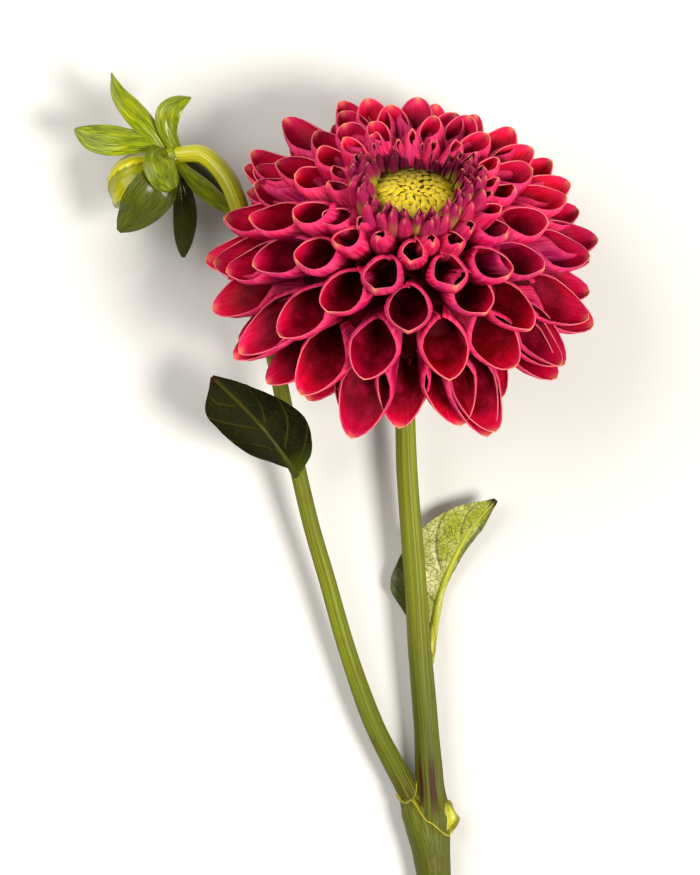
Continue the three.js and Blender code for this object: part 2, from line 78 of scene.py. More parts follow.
# Where each open petal sits: its turn round the axis in degrees, its stage and its share of the reach.
petal_seats = [
    (95, 0, 1.01), (110, 0.65, 1.01), (137, 0.3, 1), (175, 0.45, 0.99), (196, 0.65, 0.99), (218, 0.55, 1),
    (127, 1.15, 1.01), (165, 0.9, 1), (184, 1.15, 1), (241, 0.9, 1.01), (15, 1.35, 1.01), (49, 1.35, 0.99),
    (84, 1.3, 1.01), (98, 1.55, 1.01), (146, 1.45, 1), (213, 1.7, 1), (314, 1.3, 1), (335, 1.6, 1),
    (31, 2.05, 1), (71, 2, 1.02), (116, 2.1, 1.01), (258, 1.8, 1), (273, 2, 0.98), (95, 2.55, 0.99),
    (170, 2.55, 1), (207, 2.4, 1.01), (230, 2.3, 0.99), (296, 2.5, 0.97), (359, 2.3, 1), (62, 2.75, 0.98),
    (140, 2.8, 1), (218, 3.14, 1), (243, 2.85, 1.01), (288, 3.25, 1.02), (316, 2.75, 0.98), (21, 3.3, 1),
    (45, 3.55, 1.02), (82, 3.65, 1), (114, 3.45, 1), (156, 3.35, 1.01), (163, 3.5, 1), (192, 3.65, 1),
    (259, 3.3, 0.99), (344, 3.45, 1), (0, 4.25, 1.02), (30, 4.15, 1), (61, 4.05, 1.01), (129, 4.05, 1),
    (141, 4.15, 1.02), (180, 3.95, 1.03), (200, 3.9, 1.05), (208, 4.2, 1.07), (211, 4.05, 1),
    (228.5, 3.8, 0.98), (246, 4.21, 0.98), (306, 3.9, 0.98), (102, 4.3, 1.01), (225, 4.7, 1.12),
    (274, 4.6, 1), (330, 4.35, 1.02), (44, 4.95, 1.01), (114, 4.75, 1.02), (126, 4.85, 1.01),
    (146, 4.95, 0.99), (160, 4.98, 1.01), (174, 5.05, 1.02), (188, 5.01, 0.98), (241, 4.95, 1.09),
    (243, 5.25, 1.06), (244, 5.05, 1.01), (252, 4.95, 0.97), (290, 4.9, 0.96), (14, 5.5, 1),
    (36, 5.65, 1.01), (91, 5.55, 0.99), (128, 5.67, 1), (152, 5.59, 1), (166, 5.58, 1.02),
    (180, 5.74, 0.99), (206, 5.64, 0.99), (260, 5.71, 1.01), (316, 5.55, 0.99), (347, 5.55, 1.01),
    (74, 6.25, 1.01), (101, 5.8, 1.03), (114, 5.8, 0.98), (194, 5.79, 1), (220, 5.76, 1), (279, 5.95, 0.97),
    (136, 6.45, 0.99), (158, 6.46, 1.02), (174, 6.28, 1.01), (186, 6.39, 1.01), (200, 6.29, 0.99),
    (212, 6.45, 1.01), (226, 6.41, 0.99), (238, 6.38, 0.98), (250, 6.47, 1.01), (270, 6.34, 1),
    (327.5, 6.6, 1.02), (19, 7.1, 1.03), (25, 7.05, 1.12), (27, 7, 1.12), (55, 6.95, 1.02), (58, 6.8, 1),
    (59, 6.75, 1.01), (82, 7.05, 1.02), (96, 7.13, 0.98), (110, 7.14, 1.01), (122, 7.02, 0.99),
    (144, 7.12, 0.98), (166, 7.13, 1), (180, 7.2, 1.01), (192, 7.02, 0.99), (206, 7.17, 0.99),
    (218, 7.14, 1), (232, 7.06, 0.99), (261, 6.9, 1.03), (278, 7.09, 1.01), (300, 7, 1.03),
    (301, 6.8, 1.01), (345, 7.28, 1.11), (132, 7.69, 1), (154, 7.68, 1.01), (288, 7.66, 0.98),
    (359, 7.4, 1.02), (17, 8.1, 0.84), (40, 7.8, 0.98), (64, 7.78, 0.98), (78, 7.94, 0.98),
    (92, 7.91, 0.99), (106, 7.89, 0.99), (120, 7.92, 1.02), (166, 7.93, 1.02), (178, 7.91, 0.98),
    (190, 8.06, 0.98), (202, 7.9, 1.02), (214, 7.93, 1.01), (226, 8.03, 1.02), (242, 7.81, 1),
    (256, 7.77, 1), (268, 8.06, 0.98), (308, 7.78, 1.02), (322, 8.1, 0.98), (338, 7.92, 0.98),
]

# The youngest ones stand in rings round the eye: their count, turn and stage.
young_rings = [(17, 4, -2), (18, 14, -1.3), (18, 3, -0.6), (17, 14, 0.1)]

axis = Vector((math.cos(bloom_elevation) * math.sin(bloom_lean),
               math.cos(bloom_elevation) * math.cos(bloom_lean), math.sin(bloom_elevation)))
front = (Vector((0, 0, 1)) - axis * axis.z).normalized()
side = axis.cross(front)
bloom_turn = np.array([front, side, axis])  # its rows are the bloom's own axes


def draw(item, series):
    """A repeatable draw between -1 and 1."""
    x = math.sin(item * 12.9898 + series * 78.233) * 43758.5453
    return 2 * (x - math.floor(x)) - 1


def in_bloom(points):
    """Points of the bloom's own frame, in millimetres, brought to where it lies."""
    return points @ bloom_turn * 0.001 + np.array(bloom_centre)


# The side stem's middle line passes between the rear petals, so it is needed here already.
side_stem_line = [
    ((5, -131.5, 4.6), 2.6), ((1.9, -127.6, 4.8), 2.6), ((-1.4, -121.1, 5), 2.5), ((-8.2, -107.6, 5.4), 2.3),
    ((-14.3, -90.5, 6.2), 2.1), ((-19, -74, 7.6), 2), ((-23.1, -59.7, 9.2), 1.95), ((-26.9, -43, 11.6), 1.9),
    ((-30.6, -25, 14.6), 1.9), ((-34, -9, 17.4), 1.95), ((-37.2, 5.2, 19.6), 2.1), ((-41.4, 18.3, 20), 2.25),
    ((-47.4, 25.1, 19), 2.15), ((-54, 25.5, 17.6), 1.95),
]


def laid(point):
    """A point measured from under the bloom's middle, in millimetres, as a place on the table."""
    return Vector((bloom_centre.x + point[0] * 0.001, bloom_centre.y + point[1] * 0.001, point[2] * 0.001))


def line_through(stations, steps):
    """Points and radii along a smooth line through the stations."""
    places = [laid(place) for place, radius in stations]
    radii = [radius * 0.001 for place, radius in stations]
    places = [places[0] * 2 - places[1]] + places + [places[-1] * 2 - places[-2]]
    points, widths = [], []
    for i in range(steps + 1):
        x = i / steps * (len(radii) - 1)
        k = min(int(x), len(radii) - 2)
        t = x - k
        a, b, c, d = places[k:k + 4]
        points.append(0.5 * (2 * b + (c - a) * t + (2 * a - 5 * b + 4 * c - d) * t * t
                             + (3 * b - a - 3 * c + d) * t * t * t))
        widths.append(radii[k] + (radii[k + 1] - radii[k]) * (3 * t * t - 2 * t ** 3))
    return points, widths


side_stem_points = np.array(line_through(side_stem_line, 140)[0])
side_stem_thickest = 0.0023  # a little more than its radius beside the bloom
petal_gap = 0.0002


def clear_of_side_stem(points):
    """Petals that meet the side stem bend round it."""
    clearance = side_stem_thickest + petal_gap + petal_thickness
    near = (points[:, 1] > 0.02) & (points[:, 1] < 0.085) & (points[:, 0] < 0.0)
    some = points[near]
    if len(some):
        gaps = some[:, None, :] - side_stem_points[None, :, :]
        lengths = np.linalg.norm(gaps, axis=2)
        nearest = lengths.argmin(axis=1)
        rows = np.arange(len(some))
        gap, length = gaps[rows, nearest], lengths[rows, nearest]
        push = np.maximum(clearance - length, 0)
        points[near] = some + gap * (push / np.maximum(length, 1e-6))[:, None]
    return points


def unit(vectors):
    """The vectors at a length of one."""
    return vectors / np.linalg.norm(vectors, axis=-1, keepdims=True)


def turned(x, y, turn):
    """x and y after a turn."""
    return x * math.cos(turn) - y * math.sin(turn), x * math.sin(turn) + y * math.cos(turn)


def at_stage(stage, name, part=None):
    """One measure of a petal's form at its stage."""
    values = [form[name] if part is None else form[name][part] for form in petal_stages]
    return float(np.interp(stage, [form["stage"] for form in petal_stages], values))


def petal_surface(seat, index, u, v):
    """The middle surface of one petal: u from -1 to 1 across it and v from its root to its tip."""
    turn, stage, share = seat
    turn = math.radians(turn)
    lean = at_stage(stage, "lean")
    reach = share - petal_skew * (lean / 90) ** 3 * math.cos(turn - math.radians(15))
    if stage < 1:
        reach += 0.13 * min(1, 1 - stage) * math.sin(turn) ** 2 + 0.03 * draw(index, 62)
    tip = np.array([at_stage(stage, "tip", 0), at_stage(stage, "tip", 1)]) * reach
    root = np.array([at_stage(stage, "root", 0), at_stage(stage, "root", 1)])
    lean = math.radians(lean + (6 if stage > 1 else 12) * draw(index, 60))
    hold = 0.5 * np.linalg.norm(tip - root)
    bend = tip - hold * np.array([math.sin(lean), math.cos(lean)])
    twist = math.radians(10 * draw(index, 80))
    half = at_stage(stage, "half") * (1 + 0.07 * draw(index, 100))
    size = min(1, half / 12)
    # The end is cut back towards its sides, so that the rolled petal has a slanting mouth.
    cut = at_stage(stage, "cut") * (1 + 0.15 * draw(index, 110)) + 0.05 * draw(index, 112) * u
    far = np.abs(u)
    notch = at_stage(stage, "notch") * max(0, 0.6 + 1.1 * draw(index, 114))
    lip = np.clip((v - lip_start) / 0.11, 0, 1) ** 2 * size * (0.75 if stage > 2.5 else 0.35)
    slant = 0.72 * np.sin(far * math.pi / 2) ** 2 + 0.28 * far ** 1.3
    v = v * (1 - cut * slant - notch * np.exp(-(u / 0.22) ** 2))
    at = root * ((1 - v) ** 2)[..., None] + bend * (2 * v * (1 - v))[..., None] + tip * (v ** 2)[..., None]
    if stage < 1:
        climb = 0.16 if math.cos(turn) > 0 else 0.27  # the rings round the eye tilt, more so behind it
        at[..., 1] += climb * at[..., 0] * math.cos(turn) * (1 - max(0, stage))
    along = unit((bend - root) * (1 - v)[..., None] + (tip - bend) * v[..., None])
    swell = np.clip(v / 0.5, 0, 1)
    width = half * (0.5 + 0.5 * swell * swell * (3 - 2 * swell))
    narrow, body, mouth = (at_stage(stage, "tube", k) for k in range(3))
    from_end = float(np.interp(stage, (1, 2, 3, 4), (0.42, 0.36, 0.54, 0.6)))
    closing = np.clip((v - from_end) / (1 - from_end), 0, 1)
    radius = narrow + (body - narrow) * np.clip(v / 0.62, 0, 1) ** 0.85
    closing = closing * closing * (3 - 2 * closing) if stage > 2.4 else closing ** 1.4
    radius = radius + (mouth - radius) * closing
    radius = radius * (1 - 0.28 * max(0, -math.cos(turn)) * min(1, max(0, stage - 3) / 2))
    angle = u * np.minimum(width / radius, petal_wrap)
    radius = radius * (1 + 0.2 / radius * u * far ** 3)  # so that one edge passes over the other
    over = np.maximum(0, -np.cos(angle))
    tall = 0.96 - 0.2 * min(1, max(0, stage - 3) / 3)
    aside = radius * np.sin(angle) * (1 - 0.2 * over) - lip * np.sin(angle)
    rise = tall * radius * (1 - np.cos(angle)) * (1 + 0.08 * over) + lip * np.cos(angle)
    # A groove along the keel, pleats beside it, a loose wave in the edge, and an end that bends in.
    rise -= groove_depth * size * np.exp(-(u / 0.06) ** 2) * v
    pleats = np.sin(11 * far + 2 * draw(index, 130))
    rise += size * pleat_depth * pleats * np.minimum(1, 3 * v) * (1 - 0.4 * far)
    rise += size * edge_wave * far ** 3 * np.sin(6 * v + 9 * draw(index, 120)) * v
    aside += size * edge_wave * far ** 3 * np.sin(5 * v + 9 * draw(index, 122)) * v
    rise += size * end_bend * np.maximum(0, v - 0.86) / 0.14 * (0.4 + 0.6 * draw(index, 124))
    across, lift = turned(aside, rise, twist)
    r = at[..., 0] - lift * along[..., 1]
    z = at[..., 1] + lift * along[..., 0]
    x, y = turned(r, across, turn)
    points = clear_of_side_stem(in_bloom(np.stack([x, y, z], axis=-1).reshape(-1, 3)))
    points[:, 2] = np.maximum(points[:, 2], petal_thickness / 2)
    return points


def strap(name, across, along):
    """A flat grid to be shaped, with its map from 0 to 1 across and along it."""
    bpy.ops.object.select_all(action="DESELECT")
    bpy.ops.mesh.primitive_grid_add(x_subdivisions=across, y_subdivisions=along, size=2, calc_uvs=True)
    piece = bpy.context.object
    piece.name = name
    piece.data.name = name
    return piece


def points_of(piece):
    """The places of a piece's points, one row for each."""
    flat = np.empty(len(piece.data.vertices) * 3)
    piece.data.vertices.foreach_get("co", flat)
    return flat.reshape(-1, 3)


def grid_places(piece):
    """How far across (-1 to 1) and along (0 to 1) each point of a flat grid is."""
    flat = points_of(piece)
    return flat[:, 0].copy(), (flat[:, 1] + 1) / 2


def put_points(piece, points):
    piece.data.vertices.foreach_set("co", np.ascontiguousarray(points, dtype=np.float32).ravel())
    piece.data.update()


def mark(piece, name, value):
    """Writes a number, or one for each point, on the piece for its material to read."""
    layer = piece.data.attributes.new(name, "FLOAT", "POINT")
    layer.data.foreach_set("value", np.full(len(piece.data.vertices), value, dtype=np.float32)
                           if np.isscalar(value) else np.asarray(value, dtype=np.float32))


def copy_of(pattern):
    """A copy of a pattern with a mesh of its own."""
    piece = pattern.copy()
    piece.data = pattern.data.copy()
    bpy.context.collection.objects.link(piece)
    return piece


def join_all(pieces, name):
    bpy.ops.object.select_all(action="DESELECT")
    for piece in pieces:
        piece.select_set(True)
    bpy.context.view_layer.objects.active = pieces[0]
    if len(pieces) > 1:
        bpy.ops.object.join()
    piece = bpy.context.object
    piece.name = name
    piece.data.name = name
    return piece


def thicken(piece, thickness, inside_slot=0, rim_slot=0):
    """Gives a sheet its thickness about its middle and applies it."""
    solidify = piece.modifiers.new("thickness", "SOLIDIFY")
    solidify.thickness = thickness
    solidify.offset = 0
    solidify.use_even_offset = False
    solidify.material_offset = inside_slot
    solidify.material_offset_rim = rim_slot
    bpy.context.view_layer.objects.active = piece
    bpy.ops.object.modifier_apply(modifier=solidify.name)


def smooth(piece, angle=60):
    bpy.ops.object.select_all(action="DESELECT")
    piece.select_set(True)
    bpy.context.view_layer.objects.active = piece
    bpy.ops.object.shade_smooth_by_angle(angle=math.radians(angle))


def petal_group(name, seats, across, along, start):
    """Makes the petals of the given seats as one piece."""
    pattern = strap(name, across, along)
    u, v = grid_places(pattern)
    length = start + (1 - start) * v
    petals = []
    for index, seat in seats:
        petal = copy_of(pattern)
        stage = seat[1]
        put_points(petal, petal_surface(seat, index, u, length))
        half = at_stage(stage, "half")
        span = math.dist((at_stage(stage, "root", 0), at_stage(stage, "root", 1)),
                         (at_stage(stage, "tip", 0), at_stage(stage, "tip", 1)))
        mark(petal, "tint", draw(index, 140))
        mark(petal, "age", max(0, 1 - (stage + 1) / 3) + 0.15 * draw(index, 160))
        behind = np.clip(-math.cos(math.radians(seat[0])) + 0.1, 0, 1)
        mark(petal, "rear", behind * np.clip((1.1 - stage) / 1.5, 0, 1))
        mark(petal, "reach", length)
        mark(petal, "seam", np.clip((np.abs(u) - 0.78) / 0.16, 0, 1))
        mark(petal, "margin", np.minimum((1 - np.abs(u)) * half, (1 - length) * span))
        mark(petal, "tip", np.exp(-((u * half / 0.8) ** 2 + ((1 - length) * span / 0.9) ** 2)))
        petals.append(petal)
    bpy.data.objects.remove(pattern)
    piece = join_all(petals, name)
    for material in petal_materials:
        piece.data.materials.append(material)
    thicken(piece, petal_thickness, inside_slot=1, rim_slot=2)
    smooth(piece, 50)
    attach(piece, "root")
    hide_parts("ray_petals")


def paint(red, green, blue):
    """A colour as measured on a screen, from 0 to 255, for a shader."""
    return tuple(((c / 255 + 0.055) / 1.055) ** 2.4 if c > 10 else c / 255 / 12.92
                 for c in (red, green, blue)) + (1,)


def new_material(name, roughness):
    material = bpy.data.materials.new(name)
    material.use_nodes = True
    shader = material.node_tree.nodes["Principled BSDF"]
    shader.inputs["Roughness"].default_value = roughness
    return material, material.node_tree, shader


def math_node(tree, operation, *values):
    node = tree.nodes.new("ShaderNodeMath")
    node.operation = operation
    for socket, value in zip(node.inputs, values):
        if isinstance(value, (int, float)):
            socket.default_value = value
        else:
            tree.links.new(value, socket)
    return node.outputs[0]


def blend_colours(tree, factor, first, second):
    node = tree.nodes.new("ShaderNodeMix")
    node.data_type = "RGBA"
    node.clamp_factor = True
    for name, value in (("Factor_Float", factor), ("A_Color", first), ("B_Color", second)):
        socket = next(s for s in node.inputs if s.identifier == name)
        if isinstance(value, (int, float, tuple)):
            socket.default_value = value
        else:
            tree.links.new(value, socket)
    return next(s for s in node.outputs if s.identifier == "Result_Color")


def lay_over(tree, colour, mask, share, over):
    """Lays a colour over another where a mask is, at a share of it."""
    return blend_colours(tree, math_node(tree, "MULTIPLY", mask, share), colour, over)


def range_node(tree, value, low, high, to_low=0.0, to_high=1.0):
    node = tree.nodes.new("ShaderNodeMapRange")
    node.interpolation_type = "SMOOTHSTEP"
    tree.links.new(value, node.inputs["Value"])
    node.inputs["From Min"].default_value = low
    node.inputs["From Max"].default_value = high
    node.inputs["To Min"].default_value = to_low
    node.inputs["To Max"].default_value = to_high
    return node.outputs["Result"]


def attribute(tree, name):
    node = tree.nodes.new("ShaderNodeAttribute")
    node.attribute_name = name
    return node.outputs["Fac"]


def own_map(tree):
    """The piece's own UV map."""
    place = tree.nodes.new("ShaderNodeUVMap")
    place.uv_map = "UVMap"
    return place.outputs["UV"]


def own_place(tree):
    """A point's place on the object."""
    return tree.nodes.new("ShaderNodeTexCoord").outputs["Object"]


def soft_noise(tree, place, scale, detail=2, roughness=0.5):
    noise = tree.nodes.new("ShaderNodeTexNoise")
    noise.inputs["Scale"].default_value = scale
    noise.inputs["Detail"].default_value = detail
    noise.inputs["Roughness"].default_value = roughness
    tree.links.new(place, noise.inputs["Vector"])
    return noise.outputs


def press_in(tree, shader, height, strength, depth=0.0004):
    """Presses a height pattern into the surface."""
    dents = tree.nodes.new("ShaderNodeBump")
    dents.inputs["Strength"].default_value = strength
    dents.inputs["Distance"].default_value = depth
    tree.links.new(height, dents.inputs["Height"])
    tree.links.new(dents.outputs["Normal"], shader.inputs["Normal"])


def new_group(name, inputs, outputs):
    """An empty node group for a shared effect, with its input and output nodes."""
    group = bpy.data.node_groups.new(name, "ShaderNodeTree")
    for sockets, way in ((inputs, "INPUT"), (outputs, "OUTPUT")):
        for socket in sockets:
            kind = "NodeSocketVector" if socket == "Map" else "NodeSocketFloat"
            group.interface.new_socket(socket, in_out=way, socket_type=kind)
    return group, group.nodes.new("NodeGroupInput"), group.nodes.new("NodeGroupOutput")


def use_group(tree, group, place):
    """One use of a shared effect on a map."""
    node = tree.nodes.new("ShaderNodeGroup")
    node.node_tree = group
    tree.links.new(place, node.inputs["Map"])
    return node


# The veins of a petal run from its root to its tip. The group gives them as a mask, with the broader
# streaks between them and a height for the bump.
petal_veins, inner, outer = new_group("petal_veins", ("Map", "Tint"), ("Veins", "Streaks", "Height"))
shift = petal_veins.nodes.new("ShaderNodeVectorMath")
shift.operation = "MULTIPLY_ADD"
petal_veins.links.new(inner.outputs["Map"], shift.inputs[0])
shift.inputs[1].default_value = (1, 1, 1)
spread = petal_veins.nodes.new("ShaderNodeCombineXYZ")
petal_veins.links.new(math_node(petal_veins, "MULTIPLY", inner.outputs["Tint"], 7.0), spread.inputs["Z"])
petal_veins.links.new(spread.outputs[0], shift.inputs[2])
for name, scale, stretch in (("Veins", 62, 0.012), ("Streaks", 12, 0.05)):
    mapping = petal_veins.nodes.new("ShaderNodeMapping")
    mapping.inputs["Scale"].default_value = (1, stretch, 1)
    petal_veins.links.new(shift.outputs[0], mapping.inputs["Vector"])
    noise = soft_noise(petal_veins, mapping.outputs[0], scale, 3)
    mask = range_node(petal_veins, noise["Fac"], 0.45, 0.57)
    petal_veins.links.new(mask, outer.inputs[name])
    if name == "Veins":
        petal_veins.links.new(noise["Fac"], outer.inputs["Height"])


def petal_material(name, root, middle, margin, band, vein, vein_share, depth, bump, mauve, mauve_share):
    """The finish of one side of a petal, from its root to its margin. The band along the margin and the
    depth of the middle colour are in millimetres from the edge."""
    material, tree, shader = new_material(name, 0.5)
    tint = attribute(tree, "tint")
    veins = use_group(tree, petal_veins, own_map(tree))
    tree.links.new(tint, veins.inputs["Tint"])
    # Away from the margin it darkens: partly its own deeper crimson, partly painted shade in its tube.
    colour = blend_colours(tree, range_node(tree, attribute(tree, "margin"), depth, 0.8), root, middle)
    colour = lay_over(tree, colour, veins.outputs["Veins"], vein_share, vein)
    colour = lay_over(tree, colour, veins.outputs["Streaks"], 0.07, root)
    near = range_node(tree, attribute(tree, "margin"), band, 0.0, 0, 0.8)
    # The pale band is left out near the seam, where the rims lie in shade: painted shade.
    near = math_node(tree, "MULTIPLY", near, range_node(tree, attribute(tree, "seam"), 0.0, 1.0, 1, 0))
    colour = blend_colours(tree, near, colour, margin)
    # Cloudy mauve patches lie over the crimson.
    clouds = soft_noise(tree, own_place(tree), 330, 5, 0.62)
    colour = lay_over(tree, colour, range_node(tree, clouds["Fac"], 0.42, 0.7), mauve_share, mauve)
    tinted = tree.nodes.new("ShaderNodeHueSaturation")
    tree.links.new(colour, tinted.inputs["Color"])
    tree.links.new(math_node(tree, "MULTIPLY_ADD", tint, 0.004, 0.4985), tinted.inputs["Hue"])
    tree.links.new(math_node(tree, "MULTIPLY_ADD", tint, 0.14, 1.0), tinted.inputs["Value"])
    colour = tinted.outputs["Color"]
    age = attribute(tree, "age")
    colour = blend_colours(tree, range_node(tree, age, 0.2, 1.0, 0, 0.75), colour, paint(118, 20, 62))
    # The youngest are green at the root, and those behind the eye stand in the shade and are darker.
    green = math_node(tree, "MULTIPLY", range_node(tree, age, 0.6, 1.1),
                      range_node(tree, attribute(tree, "reach"), 0.82, 0.6))
    colour = blend_colours(tree, green, colour, paint(150, 146, 20))
    colour = lay_over(tree, colour, attribute(tree, "rear"), 0.72, paint(58, 8, 18))
    colour = lay_over(tree, colour, attribute(tree, "tip"), 0.75, paint(222, 150, 92))
    # Deep in the bloom, where little light comes, the petals are dark maroon.
    deep = range_node(tree, attribute(tree, "reach"), 0.6, 0.34, 0, 0.65)
    colour = blend_colours(tree, deep, colour, paint(56, 0, 6))
    tree.links.new(colour, shader.inputs["Base Color"])
    press_in(tree, shader, veins.outputs["Height"], bump)
    shader.inputs["Specular IOR Level"].default_value = 0.07
    return material


petal_materials = [
    petal_material("petal_back", paint(130, 0, 36), paint(190, 12, 62), paint(212, 52, 98), 1.8,
                   paint(222, 80, 118), 0.42, 9, 0.45, paint(150, 24, 84), 0.6),
    petal_material("petal_inside", paint(92, 0, 8), paint(202, 4, 44), paint(218, 42, 90), 2.8,
                   paint(116, 0, 16), 0.4, 8, 0.35, paint(176, 14, 58), 0.35),
    petal_material("petal_rim", paint(110, 2, 26), paint(130, 6, 34), paint(222, 108, 110), 1,
                   paint(226, 140, 110), 0.15, 4, 0.1, paint(180, 66, 96), 0.5),
]

placed = list(enumerate(petal_seats))
young = [(200 + 20 * ring + i,
          (turn + 360 * i / count + 5 * draw(i, 171 + ring), stage + 0.18 * draw(i, 181 + ring), 1))
         for ring, (count, turn, stage) in enumerate(young_rings) for i in range(count)]


def between(low, high):
    """The open petals whose stage is above low and up to high."""
    return [(i, seat) for i, seat in placed if low < seat[1] <= high]


petal_group("low_petals", between(6.3, 99), 20, 26, 0.3)
petal_group("outer_petals", between(4.5, 6.3), 22, 26, 0.3)
petal_group("middle_petals", between(2.9, 4.5), 24, 26, 0.25)
petal_group("inner_petals", between(-99, 2.9), 22, 24, 0.2)
petal_group("young_petals", young, 14, 14, 0.2)


# ---------------------------------------------------------------------------------------------------
# The bases of the petals. Below their open ends the rolled petals stand so close together that
# they make one dark furrowed body on the flower's disc. From the front it shows only deep between them.

def round_form(name, around, rings):
    """A closed round form to be shaped, with how far round it each point is, in radians, and its share of
    the way from the first pole (0) to the other (1)."""
    bpy.ops.object.select_all(action="DESELECT")
    bpy.ops.mesh.primitive_uv_sphere_add(segments=around, ring_count=rings, radius=1, calc_uvs=True)
    piece = bpy.context.object
    piece.name = name
    piece.data.name = name
    flat = points_of(piece)
    turn = np.arctan2(flat[:, 1], flat[:, 0])
    ring = np.rint(np.arccos(np.clip(flat[:, 2], -1, 1)) / math.pi * rings)
    return piece, turn, ring / rings


def round_points(radius, turn, height):
    """Points at a distance from an axis, a turn round it and a height along it."""
    return np.stack([radius * np.cos(turn), radius * np.sin(turn), height], axis=-1)


bases_radius = 25.5
bases_height = 15.5
bases_floor = -12.4
furrow_depth = 0.035

petal_bases, turn, part = round_form("petal_bases", 104, 40)
polar = part * math.pi
furrow = 1 + furrow_depth * np.cos(13 * turn) * np.sin(polar)
radius = bases_radius * np.sin(polar) * furrow
height = np.maximum(-0.5 + bases_height * np.cos(polar), bases_floor)
put_points(petal_bases, in_bloom(round_points(radius, turn, height)))

# Its near-black crimson is painted shade for the deep gaps between the packed petal tubes.
bases_shade_paint, tree, shader = new_material("petal_base_crimson_shade", 0.9)
shader.inputs["Specular IOR Level"].default_value = 0.1
patches = range_node(tree, soft_noise(tree, own_place(tree), 260, 3)["Fac"], 0.35, 0.7)
tree.links.new(blend_colours(tree, patches, paint(50, 0, 6), paint(88, 0, 14)), shader.inputs["Base Color"])
petal_bases.data.materials.append(bases_shade_paint)
smooth(petal_bases)
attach(petal_bases, "root")
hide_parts("ray_petals")


# ---------------------------------------------------------------------------------------------------
# The eye of the bloom. Its youngest florets are still shut: small waxy scales that lap over each other
# towards the middle in crossing spirals, yellow-green, with purple tips where the next ones will open.

eye_radius = 10.8
eye_base = 18.2
eye_rise = 3.8
eye_tilt = 0.13  # how steeply the eye rises towards the bloom's front
eye_count = 118
scale_reach = eye_radius + 0.3  # how far from the middle the outermost scales stand
cushion_depth = 2.0

eye_cushion, turn, part = round_form("eye_cushion", 48, 16)
polar = part * math.pi
radius = (eye_radius + 0.2) * np.sin(polar)
height = eye_base + np.where(polar < math.pi / 2, eye_rise + 0.05, cushion_depth) * np.cos(polar)
put_points(eye_cushion, in_bloom(round_points(radius, turn, height + eye_tilt * radius * np.cos(turn))))

shut_floret, around, part = round_form("shut_floret", 8, 7)
polar = part * math.pi
# A hooded scale: flat beneath, rounded above, drawn out to a point that bends inwards.
along = (1 - np.cos(polar)) / 2
across = 0.86 * np.sin(polar) ** 0.75 * (1 - 0.62 * along ** 2)
scale_x = along * 2.5 - 0.7
scale_y = across * np.sin(around)
scale_z = 0.3 * across * np.cos(around) + 0.42 * np.sin(along * math.pi * 0.8)
shut_floret.data.flip_normals()  # because they are mirrored below
florets = []
for index in range(eye_count):
    part = (index + 0.5) / eye_count
    r = scale_reach * part ** 0.54
    around_eye = index * math.pi * (3 - math.sqrt(5))
    slope = r / scale_reach
    size = 0.95 + 1.05 * part + 0.15 * draw(index, 229)
    tilt = 0.1 + 0.75 * part ** 1.6 + 0.2 * draw(index, 231)
    x, y, z = -scale_x * size, scale_y * size, scale_z * size
    out = x * math.cos(tilt) - z * math.sin(tilt) * 0.4 + 0.5
    up = -x * math.sin(tilt) + z * math.cos(tilt)
    dome = eye_base + eye_rise * math.sqrt(max(0.03, 1 - slope ** 2))
    out, y = turned(out, y, math.radians(16 * draw(index, 233)))
    x, y = turned(r + out, y, around_eye)
    floret = copy_of(shut_floret)
    put_points(floret, in_bloom(np.stack([x, y, dome + up + 0.1 + eye_tilt * x], axis=-1)))
    mark(floret, "part", part + 0.08 * draw(index, 237))
    mark(floret, "tip", along)
    # The far side of the eye is marked darker: partly the scales' own darker green, partly painted shade.
    mark(floret, "shade", min(0.85, max(0, -1.3 * slope * math.cos(around_eye) - 0.12)))
    florets.append(floret)
bpy.data.objects.remove(shut_floret)
eye_scales = join_all(florets, "eye_scales")

eye_paint, tree, shader = new_material("eye_yellow_green", 0.34)
part = attribute(tree, "part")
tip = attribute(tree, "tip")
grain = soft_noise(tree, own_place(tree), 900)["Fac"]
colour = blend_colours(tree, range_node(tree, part, 0.4, 1.0), paint(218, 188, 4), paint(136, 120, 2))
colour = blend_colours(tree, range_node(tree, grain, 0.5, 0.75, 0, 0.5), colour, paint(236, 214, 44))
colour = blend_colours(tree, range_node(tree, tip, 0.0, 0.55, 0.8, 0), colour, paint(64, 70, 4))
purple = math_node(tree, "MULTIPLY", range_node(tree, part, 0.72, 0.98), range_node(tree, tip, 0.35, 0.8))
colour = blend_colours(tree, purple, colour, paint(126, 34, 60))
# Painted shade, partly their own darker green, on the scales at the far side of the eye.
colour = blend_colours(tree, attribute(tree, "shade"), colour, paint(58, 54, 2))
tree.links.new(colour, shader.inputs["Base Color"])
press_in(tree, shader, grain, 0.25, 0.0003)
shader.inputs["Coat Weight"].default_value = 0.25
shader.inputs["Coat Roughness"].default_value = 0.25

under_paint, tree, shader = new_material("eye_shadow_green", 0.6)
grain = soft_noise(tree, own_place(tree), 500)["Fac"]
tree.links.new(blend_colours(tree, grain, paint(80, 76, 2), paint(118, 108, 4)), shader.inputs["Base Color"])

eye_scales.data.materials.append(eye_paint)
eye_cushion.data.materials.append(under_paint)
for piece in (eye_scales, eye_cushion):
    smooth(piece, 70)
    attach(piece, "root")
    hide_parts("eye_florets")


# ---------------------------------------------------------------------------------------------------
# The calyx behind the bloom. The stem swells into a green cup that carries the petals, and eight fleshy
# green bracts stand round it and bend back towards the stem.

